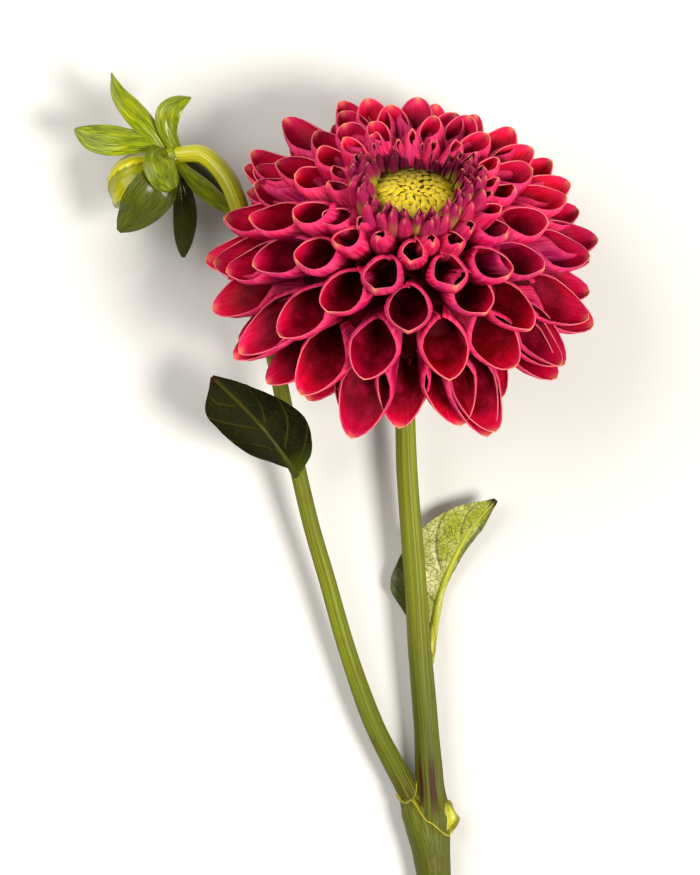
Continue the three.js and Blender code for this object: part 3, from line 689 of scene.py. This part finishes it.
calyx_profile = [(0, -11.6), (8.9, -12), (9.2, -13.2), (8.4, -15), (6.6, -17), (4.7, -18.6), (3.4, -20),
                 (2.9, -21.4), (0, -21.6)]  # the cup's radius and height
calyx_bract_count = 8
calyx_bract_thickness = 0.0006
calyx_bract_half = 3.9  # half of a bract's width
calyx_bract_radii = (5, 12, 19)  # at its root, at its bend and at its tip
calyx_bract_heights = (-14.4, -16.5, -23.5)
calyx_cup, turn, part = round_form("calyx_cup", 64, 32)
station = part * (len(calyx_profile) - 1)
radius = np.interp(station, range(len(calyx_profile)), [r for r, z in calyx_profile])
height = np.interp(station, range(len(calyx_profile)), [z for r, z in calyx_profile])
radius = radius * (1 + 0.02 * np.cos(16 * turn) * np.sin(part * math.pi))
put_points(calyx_cup, in_bloom(round_points(radius, turn, height)))

# Fine veins along a green skin, and a soft mottle under them.
long_veins, inner, outer = new_group("long_veins", ("Map", "Count"), ("Veins", "Mottle"))
stretch = long_veins.nodes.new("ShaderNodeCombineXYZ")
long_veins.links.new(inner.outputs["Count"], stretch.inputs["X"])
long_veins.links.new(math_node(long_veins, "MULTIPLY", inner.outputs["Count"], 0.1), stretch.inputs["Y"])
scaled = long_veins.nodes.new("ShaderNodeVectorMath")
scaled.operation = "MULTIPLY"
long_veins.links.new(inner.outputs["Map"], scaled.inputs[0])
long_veins.links.new(stretch.outputs[0], scaled.inputs[1])
fine = soft_noise(long_veins, scaled.outputs[0], 1, 2.5)["Fac"]
long_veins.links.new(range_node(long_veins, fine, 0.42, 0.62), outer.inputs["Veins"])
broad = soft_noise(long_veins, inner.outputs["Map"], 4, 4)["Fac"]
long_veins.links.new(range_node(long_veins, broad, 0.35, 0.68), outer.inputs["Mottle"])


def green_material(name, light, dark, vein, count, vein_share, roughness, coat, bump=0.4, shade=None):
    """A waxy green skin with veins along it and a soft mottle, darker where it is in the shade."""
    material, tree, shader = new_material(name, roughness)
    veins = use_group(tree, long_veins, own_map(tree))
    veins.inputs["Count"].default_value = count
    colour = blend_colours(tree, veins.outputs["Mottle"], light, dark)
    colour = lay_over(tree, colour, veins.outputs["Veins"], vein_share, vein)
    if shade is not None:
        colour = blend_colours(tree, attribute(tree, "shade"), colour, shade)
    tree.links.new(colour, shader.inputs["Base Color"])
    press_in(tree, shader, veins.outputs["Veins"], bump)
    shader.inputs["Specular IOR Level"].default_value = 0.2
    shader.inputs["Coat Weight"].default_value = coat
    shader.inputs["Coat Roughness"].default_value = 0.16
    return material


bract_pattern = strap("bract_pattern", 12, 16)
u, v = grid_places(bract_pattern)
bracts = []
for index in range(calyx_bract_count):
    turn = 2 * math.pi * index / calyx_bract_count + 0.1 * draw(index, 7)
    root, bend, reach = calyx_bract_radii
    r = root * (1 - v) ** 2 + 2 * bend * v * (1 - v) + (reach + draw(index, 8)) * v ** 2
    root, bend, drop = calyx_bract_heights
    z = root * (1 - v) ** 2 + 2 * bend * v * (1 - v) + drop * v ** 2
    end = np.clip((v - 0.4) / 0.6, 0, 1)
    width = calyx_bract_half * np.sqrt(np.maximum(0.008, 1 - end ** 2.2))
    across = u * (width * (0.7 + 0.3 * np.minimum(1, v / 0.4)))
    z = z + 0.8 * u * u - 0.25 * np.exp(-(u / 0.1) ** 2) + 0.25 * np.sin(8 * v + index) * np.abs(u) ** 2
    bract = copy_of(bract_pattern)
    put_points(bract, in_bloom(np.stack([*turned(r, across, turn), z], axis=-1)))
    bracts.append(bract)
bpy.data.objects.remove(bract_pattern)
calyx_bracts = join_all(bracts, "calyx_bracts")
thicken(calyx_bracts, calyx_bract_thickness)
calyx_green = green_material("calyx_green", paint(112, 142, 34), paint(74, 104, 22), paint(52, 78, 14), 22,
                             0.5, 0.4, 0.2)
for piece in (calyx_cup, calyx_bracts):
    piece.data.materials.append(calyx_green)
    smooth(piece)
    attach(piece, "root")
    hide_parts("calyx")


# ---------------------------------------------------------------------------------------------------
# The forked stem. A hollow green stalk carries the bloom. At its lowest node it is swollen, a seam runs
# round it there, the side stem leaves it on the left and a pale knob sits in the axil on the right. The
# side stem arches over at its end to the hanging bud. The cut end is just outside the photograph.

main_stem_line = [
    ((-1, -19, 15.5), 2.5), ((-0.9, -27, 11.6), 2.4), ((-0.5, -38, 9.8), 2.4), ((0, -50.4, 8.8), 2.5),
    ((1.9, -74.5, 7.3), 2.6), ((3, -90.6, 6.3), 2.8), ((4.4, -107.6, 5.3), 2.9), ((5.3, -121.1, 4.6), 3.3),
    ((6, -130, 4.5), 4.4), ((6.1, -134.6, 4.2), 4.1), ((6.4, -141, 3.9), 3.9), ((6.7, -149, 3.7), 3.8),
]
stem_top = in_bloom(np.array([[0, 0, -21.2]]))[0] - np.array([bloom_centre.x, bloom_centre.y, 0])
main_stem_line.insert(0, (tuple(stem_top * 1000), 2.7))


upwards = np.array([0, 0, 1.0])


def stalk(name, stations, steps, around, ridges):
    """A closed stalk along a smooth line, with shallow ridges and a flat end."""
    points, widths = (np.array(values) for values in line_through(stations, steps))
    piece, turn, part = round_form(name, around, steps + 2)
    ring = np.rint(part * (steps + 2)).astype(int)
    place = np.clip(ring - 1, 0, steps)
    tangent = unit(np.gradient(points, axis=0))
    sideways = unit(np.cross(tangent, upwards))
    rise = np.cross(sideways, tangent)
    ridge = 1 + ridges * np.cos(5 * turn) + 0.35 * ridges * np.cos(13 * turn + 1)
    radius = widths[place] * ridge * np.where((ring == 0) | (ring == steps + 2), 0, 1)
    put_points(piece, points[place] + sideways[place] * (radius * np.cos(turn))[:, None]
               + rise[place] * (radius * np.sin(turn))[:, None])
    mark(piece, "along", place / steps)
    mark(piece, "arch", 0)
    return piece


main_stalk = stalk("main_stalk", main_stem_line, 170, 40, 0.03)
side_stalk = stalk("side_stalk", side_stem_line, 170, 32, 0.022)
side_along = np.array([point.value for point in side_stalk.data.attributes["along"].data])
near_bud = np.clip(side_along * 5 - 3.6, 0, 1)
side_stalk.data.attributes["arch"].data.foreach_set("value", near_bud.astype(np.float32))
for piece in (main_stalk, side_stalk):
    places = points_of(piece)
    places[:, 2] = np.maximum(places[:, 2], 0)
    put_points(piece, places)

# The pale knob in the axil: a folded dormant shoot.
knob_size = (2.9, 4.2, 2.6)
axil_knob, turn, part = round_form("axil_knob", 28, 18)
polar = part * math.pi
fold = 1 + 0.1 * np.cos(3 * turn + 3 * polar) + 0.05 * np.cos(7 * turn - 4 * polar)
knob = np.stack([knob_size[0] * np.sin(polar) * np.cos(turn) * fold, knob_size[1] * np.cos(polar) * fold,
                 knob_size[2] * np.sin(polar) * np.sin(turn) * fold], axis=-1)
knob[:, 0] += np.where(knob[:, 0] > 0, 0.25 * np.exp(-(knob[:, 1] / 1.2) ** 2) * knob[:, 0], 0)
knob_place = np.array(laid((8.6, -130.2, 5.4)))
put_points(axil_knob, knob * 0.001 + knob_place)
axil_knob.data.flip_normals()
mark(axil_knob, "along", 0.9)

# Below its seam the node is one broad body that holds both stems.
sheath_line = [((0.5, -126, 4.9), 2.9), ((2.3, -129, 4.9), 3.8), ((4, -133, 4.8), 4.2),
               ((5.4, -138.6, 4.3), 4.1), ((6.2, -145, 3.9), 3.8)]
node_sheath = stalk("node_sheath", sheath_line, 60, 40, 0.02)
places = points_of(node_sheath)
local = (places - np.array([bloom_centre.x, bloom_centre.y, 0])) * 1000
places[:, 1] += 0.0022 * np.clip((1.4 - local[:, 0]) / 3.5, 0, 1) * np.clip((local[:, 1] + 131) / 4, 0, 1)
put_points(node_sheath, places)

# The seam round the node and the dried rim in its fork.
stem_lines = [line_through(line, 400) for line in (main_stem_line, side_stem_line, sheath_line)]
stem_points = np.concatenate([np.array(points) for points, widths in stem_lines])
stem_widths = np.concatenate([np.array(widths) for points, widths in stem_lines])


def on_stem(x, y):
    """The height of the stems' upper side at a place measured from under the bloom's middle."""
    spot = np.array(laid((x, y, 0)))[:2]
    reach = stem_widths ** 2 - ((stem_points[:, :2] - spot) ** 2).sum(axis=1)
    tops = np.where(reach > 0, stem_points[:, 2] + np.sqrt(np.maximum(reach, 0)), 0)
    return max(float(tops.max()) * 1000, 3.4)


seam_line = [(-2.3, -124.6), (-1.7, -125.9), (-0.5, -126.4), (0.8, -125.7), (1.7, -126.3), (2.8, -128.2),
             (4.3, -130.4), (5.9, -131.3), (7.4, -132.7), (8.7, -133.8), (9.6, -134.2)]
seam_stations = [((x, y, on_stem(x, y) - 0.1), 0.38 + 0.1 * draw(i, 301))
                 for i, (x, y) in enumerate(seam_line)]
node_seam = stalk("node_seam", seam_stations, 80, 10, 0.05)
collar_line = [(1.1, -125.8), (1.9, -124), (2.1, -121.8), (1.7, -119.8)]
collar_stations = [((x, y, on_stem(x, y) + 0.02), 0.26) for x, y in collar_line]
axil_edge = stalk("axil_edge", collar_stations, 40, 10, 0.05)

# The swollen foot of the right leaf, higher up on the main stem.
bump_size = (1.15, 4.3, 1.5)
stem_bump, turn, part = round_form("stem_bump", 20, 14)
polar = part * math.pi
bump = np.stack([bump_size[0] * np.sin(polar) * np.cos(turn), bump_size[1] * np.cos(polar),
                 bump_size[2] * np.sin(polar) * np.sin(turn)], axis=-1)
bump[:, 0] *= 1 + 0.12 * np.sin(2.4 * bump[:, 1])
put_points(stem_bump, bump * 0.001 + np.array(laid((5.5, -88.6, 6))))
stem_bump.data.flip_normals()
mark(stem_bump, "along", 0.6)

stem_paint, tree, shader = new_material("stem_olive", 0.52)
streaks = use_group(tree, long_veins, own_map(tree))
streaks.inputs["Count"].default_value = 38
place = own_place(tree)
broad = soft_noise(tree, place, 130, 4)["Fac"]
along = attribute(tree, "along")
colour = blend_colours(tree, range_node(tree, along, 0.0, 0.95), paint(120, 128, 10), paint(88, 90, 4))
colour = lay_over(tree, colour, streaks.outputs["Veins"], 0.6, paint(68, 66, 3))
brown = math_node(tree, "MULTIPLY", range_node(tree, broad, 0.5, 0.72), streaks.outputs["Mottle"])
colour = lay_over(tree, colour, brown, 0.7, paint(92, 48, 10))
# Near the node the skin is darker, with brown stains at the fork.
node_place = tree.nodes.new("ShaderNodeVectorMath")
node_place.operation = "DISTANCE"
tree.links.new(place, node_place.inputs[0])
node_place.inputs[1].default_value = tuple(laid((4.6, -122, 7.5)))
from_node = node_place.outputs["Value"]
colour = blend_colours(tree, range_node(tree, from_node, 0.05, 0.008, 0, 0.6), colour, paint(62, 68, 0))
stain = math_node(tree, "MULTIPLY", range_node(tree, from_node, 0.0105, 0.002),
                  range_node(tree, streaks.outputs["Veins"], 0.1, 0.8))
colour = blend_colours(tree, stain, colour, paint(54, 24, 4))
# The arch at the bud's end is younger: yellower, smoother and glossier. Its lighter colour is partly that and
# partly painted light, since the bloom shades it.
arch = attribute(tree, "arch")
fresh_and_lit = lay_over(tree, paint(184, 178, 2), streaks.outputs["Veins"], 0.5, paint(136, 138, 0))
colour = blend_colours(tree, arch, colour, fresh_and_lit)
tree.links.new(math_node(tree, "MULTIPLY_ADD", arch, -0.24, 0.52), shader.inputs["Roughness"])
tree.links.new(math_node(tree, "MULTIPLY", arch, 0.5), shader.inputs["Coat Weight"])
shader.inputs["Coat Roughness"].default_value = 0.12
tree.links.new(colour, shader.inputs["Base Color"])
press_in(tree, shader, streaks.outputs["Veins"], 0.45)
shader.inputs["Specular IOR Level"].default_value = 0.2

pale_paint = green_material("stem_seam_yellow", paint(178, 172, 44), paint(132, 132, 16), paint(92, 86, 8), 9,
                            0.7, 0.45, 0.12, 0.9)
stalks = (main_stalk, side_stalk, node_sheath)
for piece in stalks + (axil_knob, node_seam, axil_edge, stem_bump):
    piece.data.materials.append(stem_paint if piece in stalks else pale_paint)
    smooth(piece)
forked_stem = join_all(stalks, "stem_stalks")
stem_details = join_all([axil_knob, node_seam, axil_edge, stem_bump], "stem_node_details")
for piece in (forked_stem, stem_details):
    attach(piece, "root")
    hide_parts("forked_stem")


# ---------------------------------------------------------------------------------------------------
# The closed bud: a waxy yellow-green globe of inner bracts that lap over each other and meet at its tip.
# It nods at the end of the side stem and hasn't opened yet.

bud_centre = np.array(laid((-62.6, 18.8, 15)))
bud_joint = np.array(laid((-54, 25.8, 17.6)))
bud_radius = 0.0076
bud_axis = Vector(bud_centre - bud_joint).normalized()
bud_turn = Vector((0, 0, 1)).rotation_difference(bud_axis).to_matrix()

bud_scales = 6  # how many scales one turn of the globe shows
scale_relief = 0.0005
beak_height = 0.0009

bud_globe, turn, height = round_form("bud_globe", 96, 56)
lap = (turn / (2 * math.pi) + 0.12 * height) * bud_scales % 1
relief = scale_relief * np.clip(lap * 1.12, 0, 1) ** 1.5 * np.sin(np.pi * height) ** 0.7
relief = relief * np.clip((1 - lap) / 0.06, 0, 1) ** 0.5
wrinkle = 0.00006 * np.sin(20 * lap) * np.sin(np.pi * height)
# A small pinched beak where the scales meet.
beak = beak_height * np.exp(-((1 - height) / 0.05) ** 2)
reach = bud_radius + relief + wrinkle - scale_relief / 2
polar = np.pi * height
globe = round_points(np.sin(polar), turn, np.cos(polar)) * reach[:, None]
globe[:, 2] = -globe[:, 2] + beak
globe[:, 1] = -globe[:, 1]
put_points(bud_globe, globe @ np.array(bud_turn.transposed()) + bud_centre)
mark(bud_globe, "lap", lap)
mark(bud_globe, "height", height)

bud_paint, tree, shader = new_material("bud_yellow_green", 0.3)
veins = use_group(tree, long_veins, own_map(tree))
veins.inputs["Count"].default_value = 60
lap = attribute(tree, "lap")
high = attribute(tree, "height")
# Each scale is darker where it tucks under the next one's edge and lighter towards its own raised edge.
colour = blend_colours(tree, range_node(tree, lap, 0.2, 1.0), paint(132, 132, 0), paint(188, 176, 4))
colour = lay_over(tree, colour, veins.outputs["Veins"], 0.35, paint(112, 114, 0))
# A dark band just under each overlapping edge: painted shade in the crease.
colour = blend_colours(tree, range_node(tree, lap, 0.1, 0.0, 0, 0.8), colour, paint(70, 72, 0))
colour = blend_colours(tree, range_node(tree, high, 0.93, 1.0, 0, 0.8), colour, paint(92, 70, 12))
tree.links.new(colour, shader.inputs["Base Color"])
press_in(tree, shader, veins.outputs["Veins"], 0.2, 0.0003)
shader.inputs["Coat Weight"].default_value = 0.25
shader.inputs["Coat Roughness"].default_value = 0.12
shader.inputs["Specular IOR Level"].default_value = 0.15
bud_globe.data.materials.append(bud_paint)
smooth(bud_globe)
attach(bud_globe, "root")
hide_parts("bud")


# ---------------------------------------------------------------------------------------------------
# The outer bracts of the bud: eight fleshy green tongues from its joint. Some bend back over the stem,
# the others press against the globe. Each is glossy, with veins along it and a small hooked tip.

bud_bract_lines = [
    {"path": [(-56, 26.6, 17), (-61.5, 28.4, 18.8), (-67.5, 28.8, 19.2), (-73, 29.6, 18),
              (-77.6, 31.4, 15.8)],
     "half": 3.7, "widest": 0.6, "point": 1, "curl": 0.3, "shade": 0},
    {"path": [(-56.4, 26.2, 17), (-60.2, 31.4, 19), (-64.2, 35.8, 20), (-67.4, 39.8, 19.6),
              (-68.9, 44.2, 18.6)],
     "half": 2.7, "widest": 0.4, "point": 1.5, "curl": 0.4, "shade": 0},
    {"path": [(-54, 26.6, 17.4), (-55.8, 31, 19.2), (-55.8, 34.8, 20.2), (-53.6, 37.2, 20),
              (-50.6, 38.4, 19.2)],
     "half": 2.8, "widest": 0.5, "point": 1.2, "curl": 0.3, "shade": 0.1},
    {"path": [(-57.6, 27, 19), (-58.2, 24.4, 23.6), (-56.8, 20.6, 25.2), (-54.6, 17, 24.4)],
     "half": 3.5, "widest": 0.55, "point": 0.45, "curl": 0.1, "shade": 0.3},
    {"path": [(-54.4, 23.6, 17), (-57.6, 18.4, 22.4), (-62, 13, 21), (-67.4, 7.9, 16.6)],
     "half": 5.2, "widest": 0.46, "point": 0.85, "curl": 0.1, "shade": 0.75},
    {"path": [(-53.8, 24.6, 16.8), (-52, 13, 14.8), (-52.8, 2.2, 10)],
     "half": 2.8, "widest": 0.55, "point": 0.9, "curl": 0.3, "shade": 0.85},
    {"path": [(-53.6, 23.8, 18), (-49.6, 19.6, 18.2), (-45, 15.6, 16.4), (-40.4, 11.5, 13.6)],
     "half": 2.1, "widest": 0.5, "point": 1, "curl": 0.2, "shade": 0.1},
    {"path": [(-53, 25.4, 16), (-48, 21.2, 15), (-44.6, 17.4, 13.4), (-41.6, 13.6, 11.4)],
     "half": 1.9, "widest": 0.4, "point": 1, "curl": 0.2, "shade": 0.95},
]
bract_thickness = 0.00055
bract_gap = 0.00055  # from the globe's radius to a bract's inner side, which clears the scales
bract_steps = 60


def along_path(path, part, steps):
    """The places on a smooth path, and its directions there, at part, from 0 to 1."""
    points = np.array(line_through([(place, 1) for place in path], steps)[0])
    return [np.stack([np.interp(part * steps, range(steps + 1), values[:, k]) for k in range(3)], axis=-1)
            for values in (points, unit(np.gradient(points, axis=0)))]


bract_pattern = strap("bract_pattern", 20, 36)
u, v = grid_places(bract_pattern)
bracts = []
for index, bract_form in enumerate(bud_bract_lines):
    at, along = along_path(bract_form["path"], v, bract_steps)
    outward = 0.4 * unit(at - bud_centre) + np.array([0, 0, 0.9])
    sideways = unit(np.cross(along, outward))
    widest = bract_form["widest"]
    end = np.clip((v - widest) / (1 - widest), 0, 1)
    swell = np.clip(v / widest, 0, 1)
    taper = 0.5 + 0.5 * swell * swell * (3 - 2 * swell)
    taper = taper * np.maximum(0.04, 1 - end ** 2.1) ** (0.8 * bract_form["point"])
    half = bract_form["half"] * 0.001
    groove = -0.16 * np.exp(-(u / 0.09) ** 2) + 0.05 * np.cos(u * 22) * (1 - np.abs(u))
    wave = 0.3 * bract_form["curl"] * np.sin(7 * v + index) * np.abs(u) ** 1.5 * np.sign(u + 0.001)
    surface = at + sideways * (u * half * taper)[:, None]
    surface += outward * ((-0.9 * u * u * taper + groove * taper + wave + 1.4 * bract_form["curl"] * end ** 3)
                          * 0.001)[:, None]
    away = surface - bud_centre
    lengths = np.linalg.norm(away, axis=1)
    least = bud_radius + bract_gap + bract_thickness / 2
    surface = np.where((lengths < least)[:, None], bud_centre + away / lengths[:, None] * least, surface)
    bract = copy_of(bract_pattern)
    put_points(bract, surface)
    mark(bract, "shade", bract_form["shade"])
    bracts.append(bract)
bpy.data.objects.remove(bract_pattern)
bud_bracts = join_all(bracts, "bud_outer_bracts")
bract_green = green_material("bract_green", paint(160, 168, 6), paint(120, 136, 2), paint(52, 70, 0), 48, 0.7,
                             0.34, 0.2, 0.6, paint(36, 42, 0))
bract_pale = green_material("bract_edge", paint(170, 184, 30), paint(136, 156, 16), paint(90, 118, 6), 20,
                            0.4, 0.4, 0.2, 0.3, paint(66, 74, 4))
bud_bracts.data.materials.append(bract_green)
bud_bracts.data.materials.append(bract_pale)
thicken(bud_bracts, bract_thickness, rim_slot=1)

# The little cup where the side stem widens to carry the bud.
cup_radius = 0.0025
cup_offset = 0.0013  # from the joint towards the bud
bud_cup, turn, part = round_form("bud_cup", 32, 20)
polar = part * math.pi
cup = round_points(np.sin(polar), turn, np.cos(polar))
cup *= (cup_radius * (1 + 0.03 * np.cos(7 * turn)))[:, None]
put_points(bud_cup, cup @ np.array(bud_turn.transposed()) + bud_joint + np.array(bud_axis) * cup_offset)
bud_cup.data.materials.append(green_material("bud_cup_green", paint(140, 152, 20), paint(110, 124, 10),
                                             paint(80, 92, 6), 24, 0.5, 0.36, 0.3))
for piece in (bud_bracts, bud_cup):
    smooth(piece)
    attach(piece, "root")
    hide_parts("bud_bracts")


# ---------------------------------------------------------------------------------------------------
# The two leaves. Each is a thin blade on a fleshy midrib, with side veins pressed into it, shallow teeth
# and cupped halves. The left one stands up over the side stem and has folded its right lobe round; it lies
# under the bloom, and its near-black colour is painted shade. The right one is pale and glossy and lies
# under the main stem; its silvery patches are partly painted sheen.

leaf_thickness = 0.0005
leaf_steps = 80


def sampled(values, part):
    """A smooth curve through evenly spaced samples, at part, from 0 to 1."""
    x = np.clip(part, 0, 1) * (len(values) - 1)
    k = np.minimum(x.astype(int), len(values) - 2)
    t = x - k
    padded = np.array([2 * values[0] - values[1], *values, 2 * values[-1] - values[-2]], float)
    a, b, c, d = (padded[k + i] for i in range(4))
    curve = 0.5 * (2 * b + (c - a) * t + (2 * a - 5 * b + 4 * c - d) * t * t
                   + (3 * b - a - 3 * c + d) * t ** 3)
    return np.maximum(curve, 0.2)


def leaf_blade(name, midrib, left, right, cup, teeth, tooth_depth, side_veins, vein_depth, fold=None):
    piece = strap(name, 64, 110)
    u, v = grid_places(piece)
    at, along = along_path(midrib, v, leaf_steps)
    sideways = unit(np.cross(along, upwards))
    rise = np.cross(sideways, along)
    width = np.where(u < 0, sampled(left, v), sampled(right, v))
    saw = (v * teeth) % 1
    width = width * (1 - tooth_depth * saw * (np.abs(u) > 0.5) * np.clip((v - 0.2) / 0.1, 0, 1))
    spread = u * width
    far = np.abs(u)
    lift = cup * width * u * u * 0.6 + 0.5 * np.sin(9 * v + 3 * u) * far * np.minimum(1, width / 4)
    # Side veins leave the midrib forwards, and the blade puffs up a little between them.
    vein_place = (v * side_veins - far * 1.5) % 1
    vein = np.exp(-((vein_place - 0.5) / 0.09) ** 2) * np.clip(far * 6, 0, 1)
    vein = vein * np.clip((v - 0.12) / 0.1, 0, 1)
    lift -= vein_depth * vein * np.clip(1.15 - far, 0, 1)
    lift -= 0.3 * np.exp(-(spread / 0.5) ** 2) * (1 - v)
    if fold is not None:
        lift, spread = fold(u, v, lift, spread)
        lift *= np.clip(v / 0.45, 0.1, 1)
    surface = at + (sideways * (spread * (1 - 0.25 * cup * u * u))[:, None] + rise * lift[:, None]) * 0.001
    surface[:, 2] = np.maximum(surface[:, 2], leaf_thickness / 2)
    put_points(piece, surface)
    mark(piece, "vein", np.maximum(0.75 * vein, np.exp(-(spread / 0.55) ** 2)))
    mark(piece, "base", np.clip(1 - v / 0.3, 0, 1))
    mark(piece, "shade", np.maximum(np.clip((-u - 0.5) / 0.2, 0, 1) * np.clip((0.62 - v) / 0.1, 0, 1),
                                    0.8 * np.clip((u - 0.3) / 0.3, 0, 1) * np.clip((v - 0.5) / 0.2, 0, 1)))
    mark(piece, "point", np.clip((v - 0.955) / 0.03, 0, 1))
    return piece


def leaf_rib(name, midrib, thick, thin, drop):
    """The fleshy midrib and leaf stalk along a leaf."""
    stations = [((x, y, z - drop), thick + (thin - thick) * i / (len(midrib) - 1))
                for i, (x, y, z) in enumerate(midrib)]
    return stalk(name, stations, 90, 16, 0.03)


def leaf_material(name, light, dark, vein, net, base, shade, cell_scale, net_share, roughness, coat, bump):
    material, tree, shader = new_material(name, roughness)
    place = own_place(tree)
    cells = tree.nodes.new("ShaderNodeTexVoronoi")
    cells.feature = "DISTANCE_TO_EDGE"
    cells.inputs["Scale"].default_value = cell_scale
    bent = tree.nodes.new("ShaderNodeVectorMath")
    bent.operation = "MULTIPLY_ADD"
    tree.links.new(soft_noise(tree, place, 220)["Color"], bent.inputs[0])
    bent.inputs[1].default_value = (0.003, 0.003, 0.003)
    tree.links.new(place, bent.inputs[2])
    tree.links.new(bent.outputs[0], cells.inputs["Vector"])
    mesh = range_node(tree, cells.outputs["Distance"], 0.09, 0.0)
    broad = soft_noise(tree, place, 90, 5)["Fac"]
    veins = attribute(tree, "vein")
    colour = blend_colours(tree, range_node(tree, broad, 0.35, 0.65), light, dark)
    colour = lay_over(tree, colour, mesh, net_share, net)
    colour = blend_colours(tree, range_node(tree, veins, 0.25, 0.9, 0, 0.85), colour, vein)
    colour = lay_over(tree, colour, attribute(tree, "base"), 0.8, base)
    colour = lay_over(tree, colour, attribute(tree, "shade"), 0.85, shade)
    colour = blend_colours(tree, attribute(tree, "point"), colour, paint(40, 18, 8))
    tree.links.new(colour, shader.inputs["Base Color"])
    height = math_node(tree, "ADD", math_node(tree, "MULTIPLY", mesh, -0.5),
                       math_node(tree, "MULTIPLY", broad, 0.8))
    press_in(tree, shader, height, bump)
    shader.inputs["Specular IOR Level"].default_value = 0.08
    shader.inputs["Coat Weight"].default_value = coat
    shader.inputs["Coat Roughness"].default_value = 0.3
    return material


left_midrib = [(-25.9, -49.4, 11.4), (-28.4, -45.4, 16.6), (-33.4, -38.6, 19.6), (-39.6, -32, 20.6),
               (-45.6, -26.2, 19)]
right_midrib = [(5, -93.4, 5.4), (6.8, -82, 2.8), (9, -74, 3), (14, -63.6, 4.8), (20.8, -55, 6.8)]


def left_lobe_fold(u, v, lift, spread):
    """The right lobe near the leaf's base rolls up and over towards the midrib."""
    part = np.clip(u, 0, 1) * np.exp(-((v - 0.3) / 0.17) ** 2)
    return lift + 2.6 * np.sin(np.clip(part, 0, 1) * 2.2), spread * (1 - 0.16 * part)


left_leaf = leaf_blade("left_leaf_blade", left_midrib, [0.6, 0.8, 3.2, 6.6, 8.2, 8.6, 7.6, 0.3],
                       [0.9, 4.4, 9.6, 11.2, 8.8, 6, 3.4, 0.3], 0.5, 9, 0.006, 5, 0.3, left_lobe_fold)
thicken(left_leaf, leaf_thickness)
left_rib = leaf_rib("left_leaf_rib", left_midrib, 1.2, 0.12, 0.5)
# Near-black: painted shade, for the bloom's shadow over this leaf.
left_leaf.data.materials.append(leaf_material("left_leaf_shade_green", paint(24, 24, 0), paint(9, 10, 0),
                                              paint(58, 54, 2), paint(44, 42, 0), paint(76, 88, 2),
                                              paint(16, 18, 0), 760, 0.4, 0.7, 0, 0.4))
left_rib.data.materials.append(green_material("left_leaf_shade_stalk", paint(72, 76, 2), paint(46, 50, 0),
                                              paint(34, 36, 0), 18, 0.5, 0.6, 0))
right_leaf = leaf_blade("right_leaf_blade", right_midrib, [0.8, 5.5, 12, 12.6, 10.8, 6.4, 0.4],
                        [0.8, 0.6, 0.7, 0.9, 1.5, 2.1, 0.4], 0.12, 10, 0.01, 5, 0.25)
thicken(right_leaf, leaf_thickness)
right_rib = leaf_rib("right_leaf_rib", right_midrib, 1.25, 0.35, 0.1)
# Its palest, silvery colour, in broad patches, is partly painted sheen.
right_leaf.data.materials.append(leaf_material("pale_leaf_green", paint(226, 216, 160), paint(140, 146, 40),
                                               paint(40, 52, 4), paint(50, 62, 6), paint(128, 134, 6),
                                               paint(30, 44, 2), 900, 0.75, 0.36, 0.5, 0.5))
right_rib.data.materials.append(green_material("pale_leaf_rib", paint(178, 176, 44), paint(140, 146, 24),
                                               paint(110, 118, 14), 18, 0.4, 0.38, 0.3))
for piece, node in ((left_leaf, "left_leaf"), (left_rib, "left_leaf"), (right_leaf, "right_leaf"),
                    (right_rib, "right_leaf")):
    smooth(piece)
    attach(piece, "root")
    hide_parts(node)


# ---------------------------------------------------------------------------------------------------
# A plain pale table top under the flower, a large soft light from the lower right as in a studio, a
# weaker one from the upper left, and the camera straight above, set to frame it as the photograph does.

table_drop = 0.0002  # it lies a hair under the flower, so that the two don't flicker where they touch

bpy.ops.object.select_all(action="DESELECT")
bpy.ops.mesh.primitive_plane_add(size=6, location=(0, 0, -table_drop))
table = bpy.context.object
table.name = "table_top"
table_paint, tree, shader = new_material("table_paper", 0.85)
shader.inputs["Base Color"].default_value = (0.6, 0.585, 0.55, 1)
table.data.materials.append(table_paint)


def soft_light(name, place, target, size, power, colour):
    lamp = bpy.data.lights.new(name, "AREA")
    lamp.shape = "DISK"
    lamp.size = size
    lamp.energy = power
    lamp.color = colour
    holder = bpy.data.objects.new(name, lamp)
    holder.location = place
    holder.rotation_euler = (Vector(target) - Vector(place)).to_track_quat("-Z", "Y").to_euler()
    bpy.context.collection.objects.link(holder)


soft_light("key_light", (0.5, -0.16, 0.74), (0.01, 0.03, 0.03), 0.34, 12, (1, 0.98, 0.94))
soft_light("fill_light", (-0.5, 0.3, 0.6), (0, 0.03, 0.03), 0.8, 8, (1, 0.99, 0.97))
world = bpy.data.worlds.new("studio")
world.use_nodes = True
world.node_tree.nodes["Background"].inputs["Color"].default_value = (0.95, 0.96, 1, 1)
world.node_tree.nodes["Background"].inputs["Strength"].default_value = 0.22
bpy.context.scene.world = world
bpy.context.scene.view_settings.view_transform = "Standard"

camera_height = 0.838
view_from_bloom = (-0.0136, -0.0403)  # the middle of the view, measured from the bloom's

lens = bpy.data.cameras.new("camera")
lens.sensor_width = 36
lens.lens = 145
lens.clip_end = 20
camera = bpy.data.objects.new("camera", lens)
camera.location = (bloom_centre.x + view_from_bloom[0], bloom_centre.y + view_from_bloom[1], camera_height)
bpy.context.collection.objects.link(camera)
bpy.context.scene.camera = camera
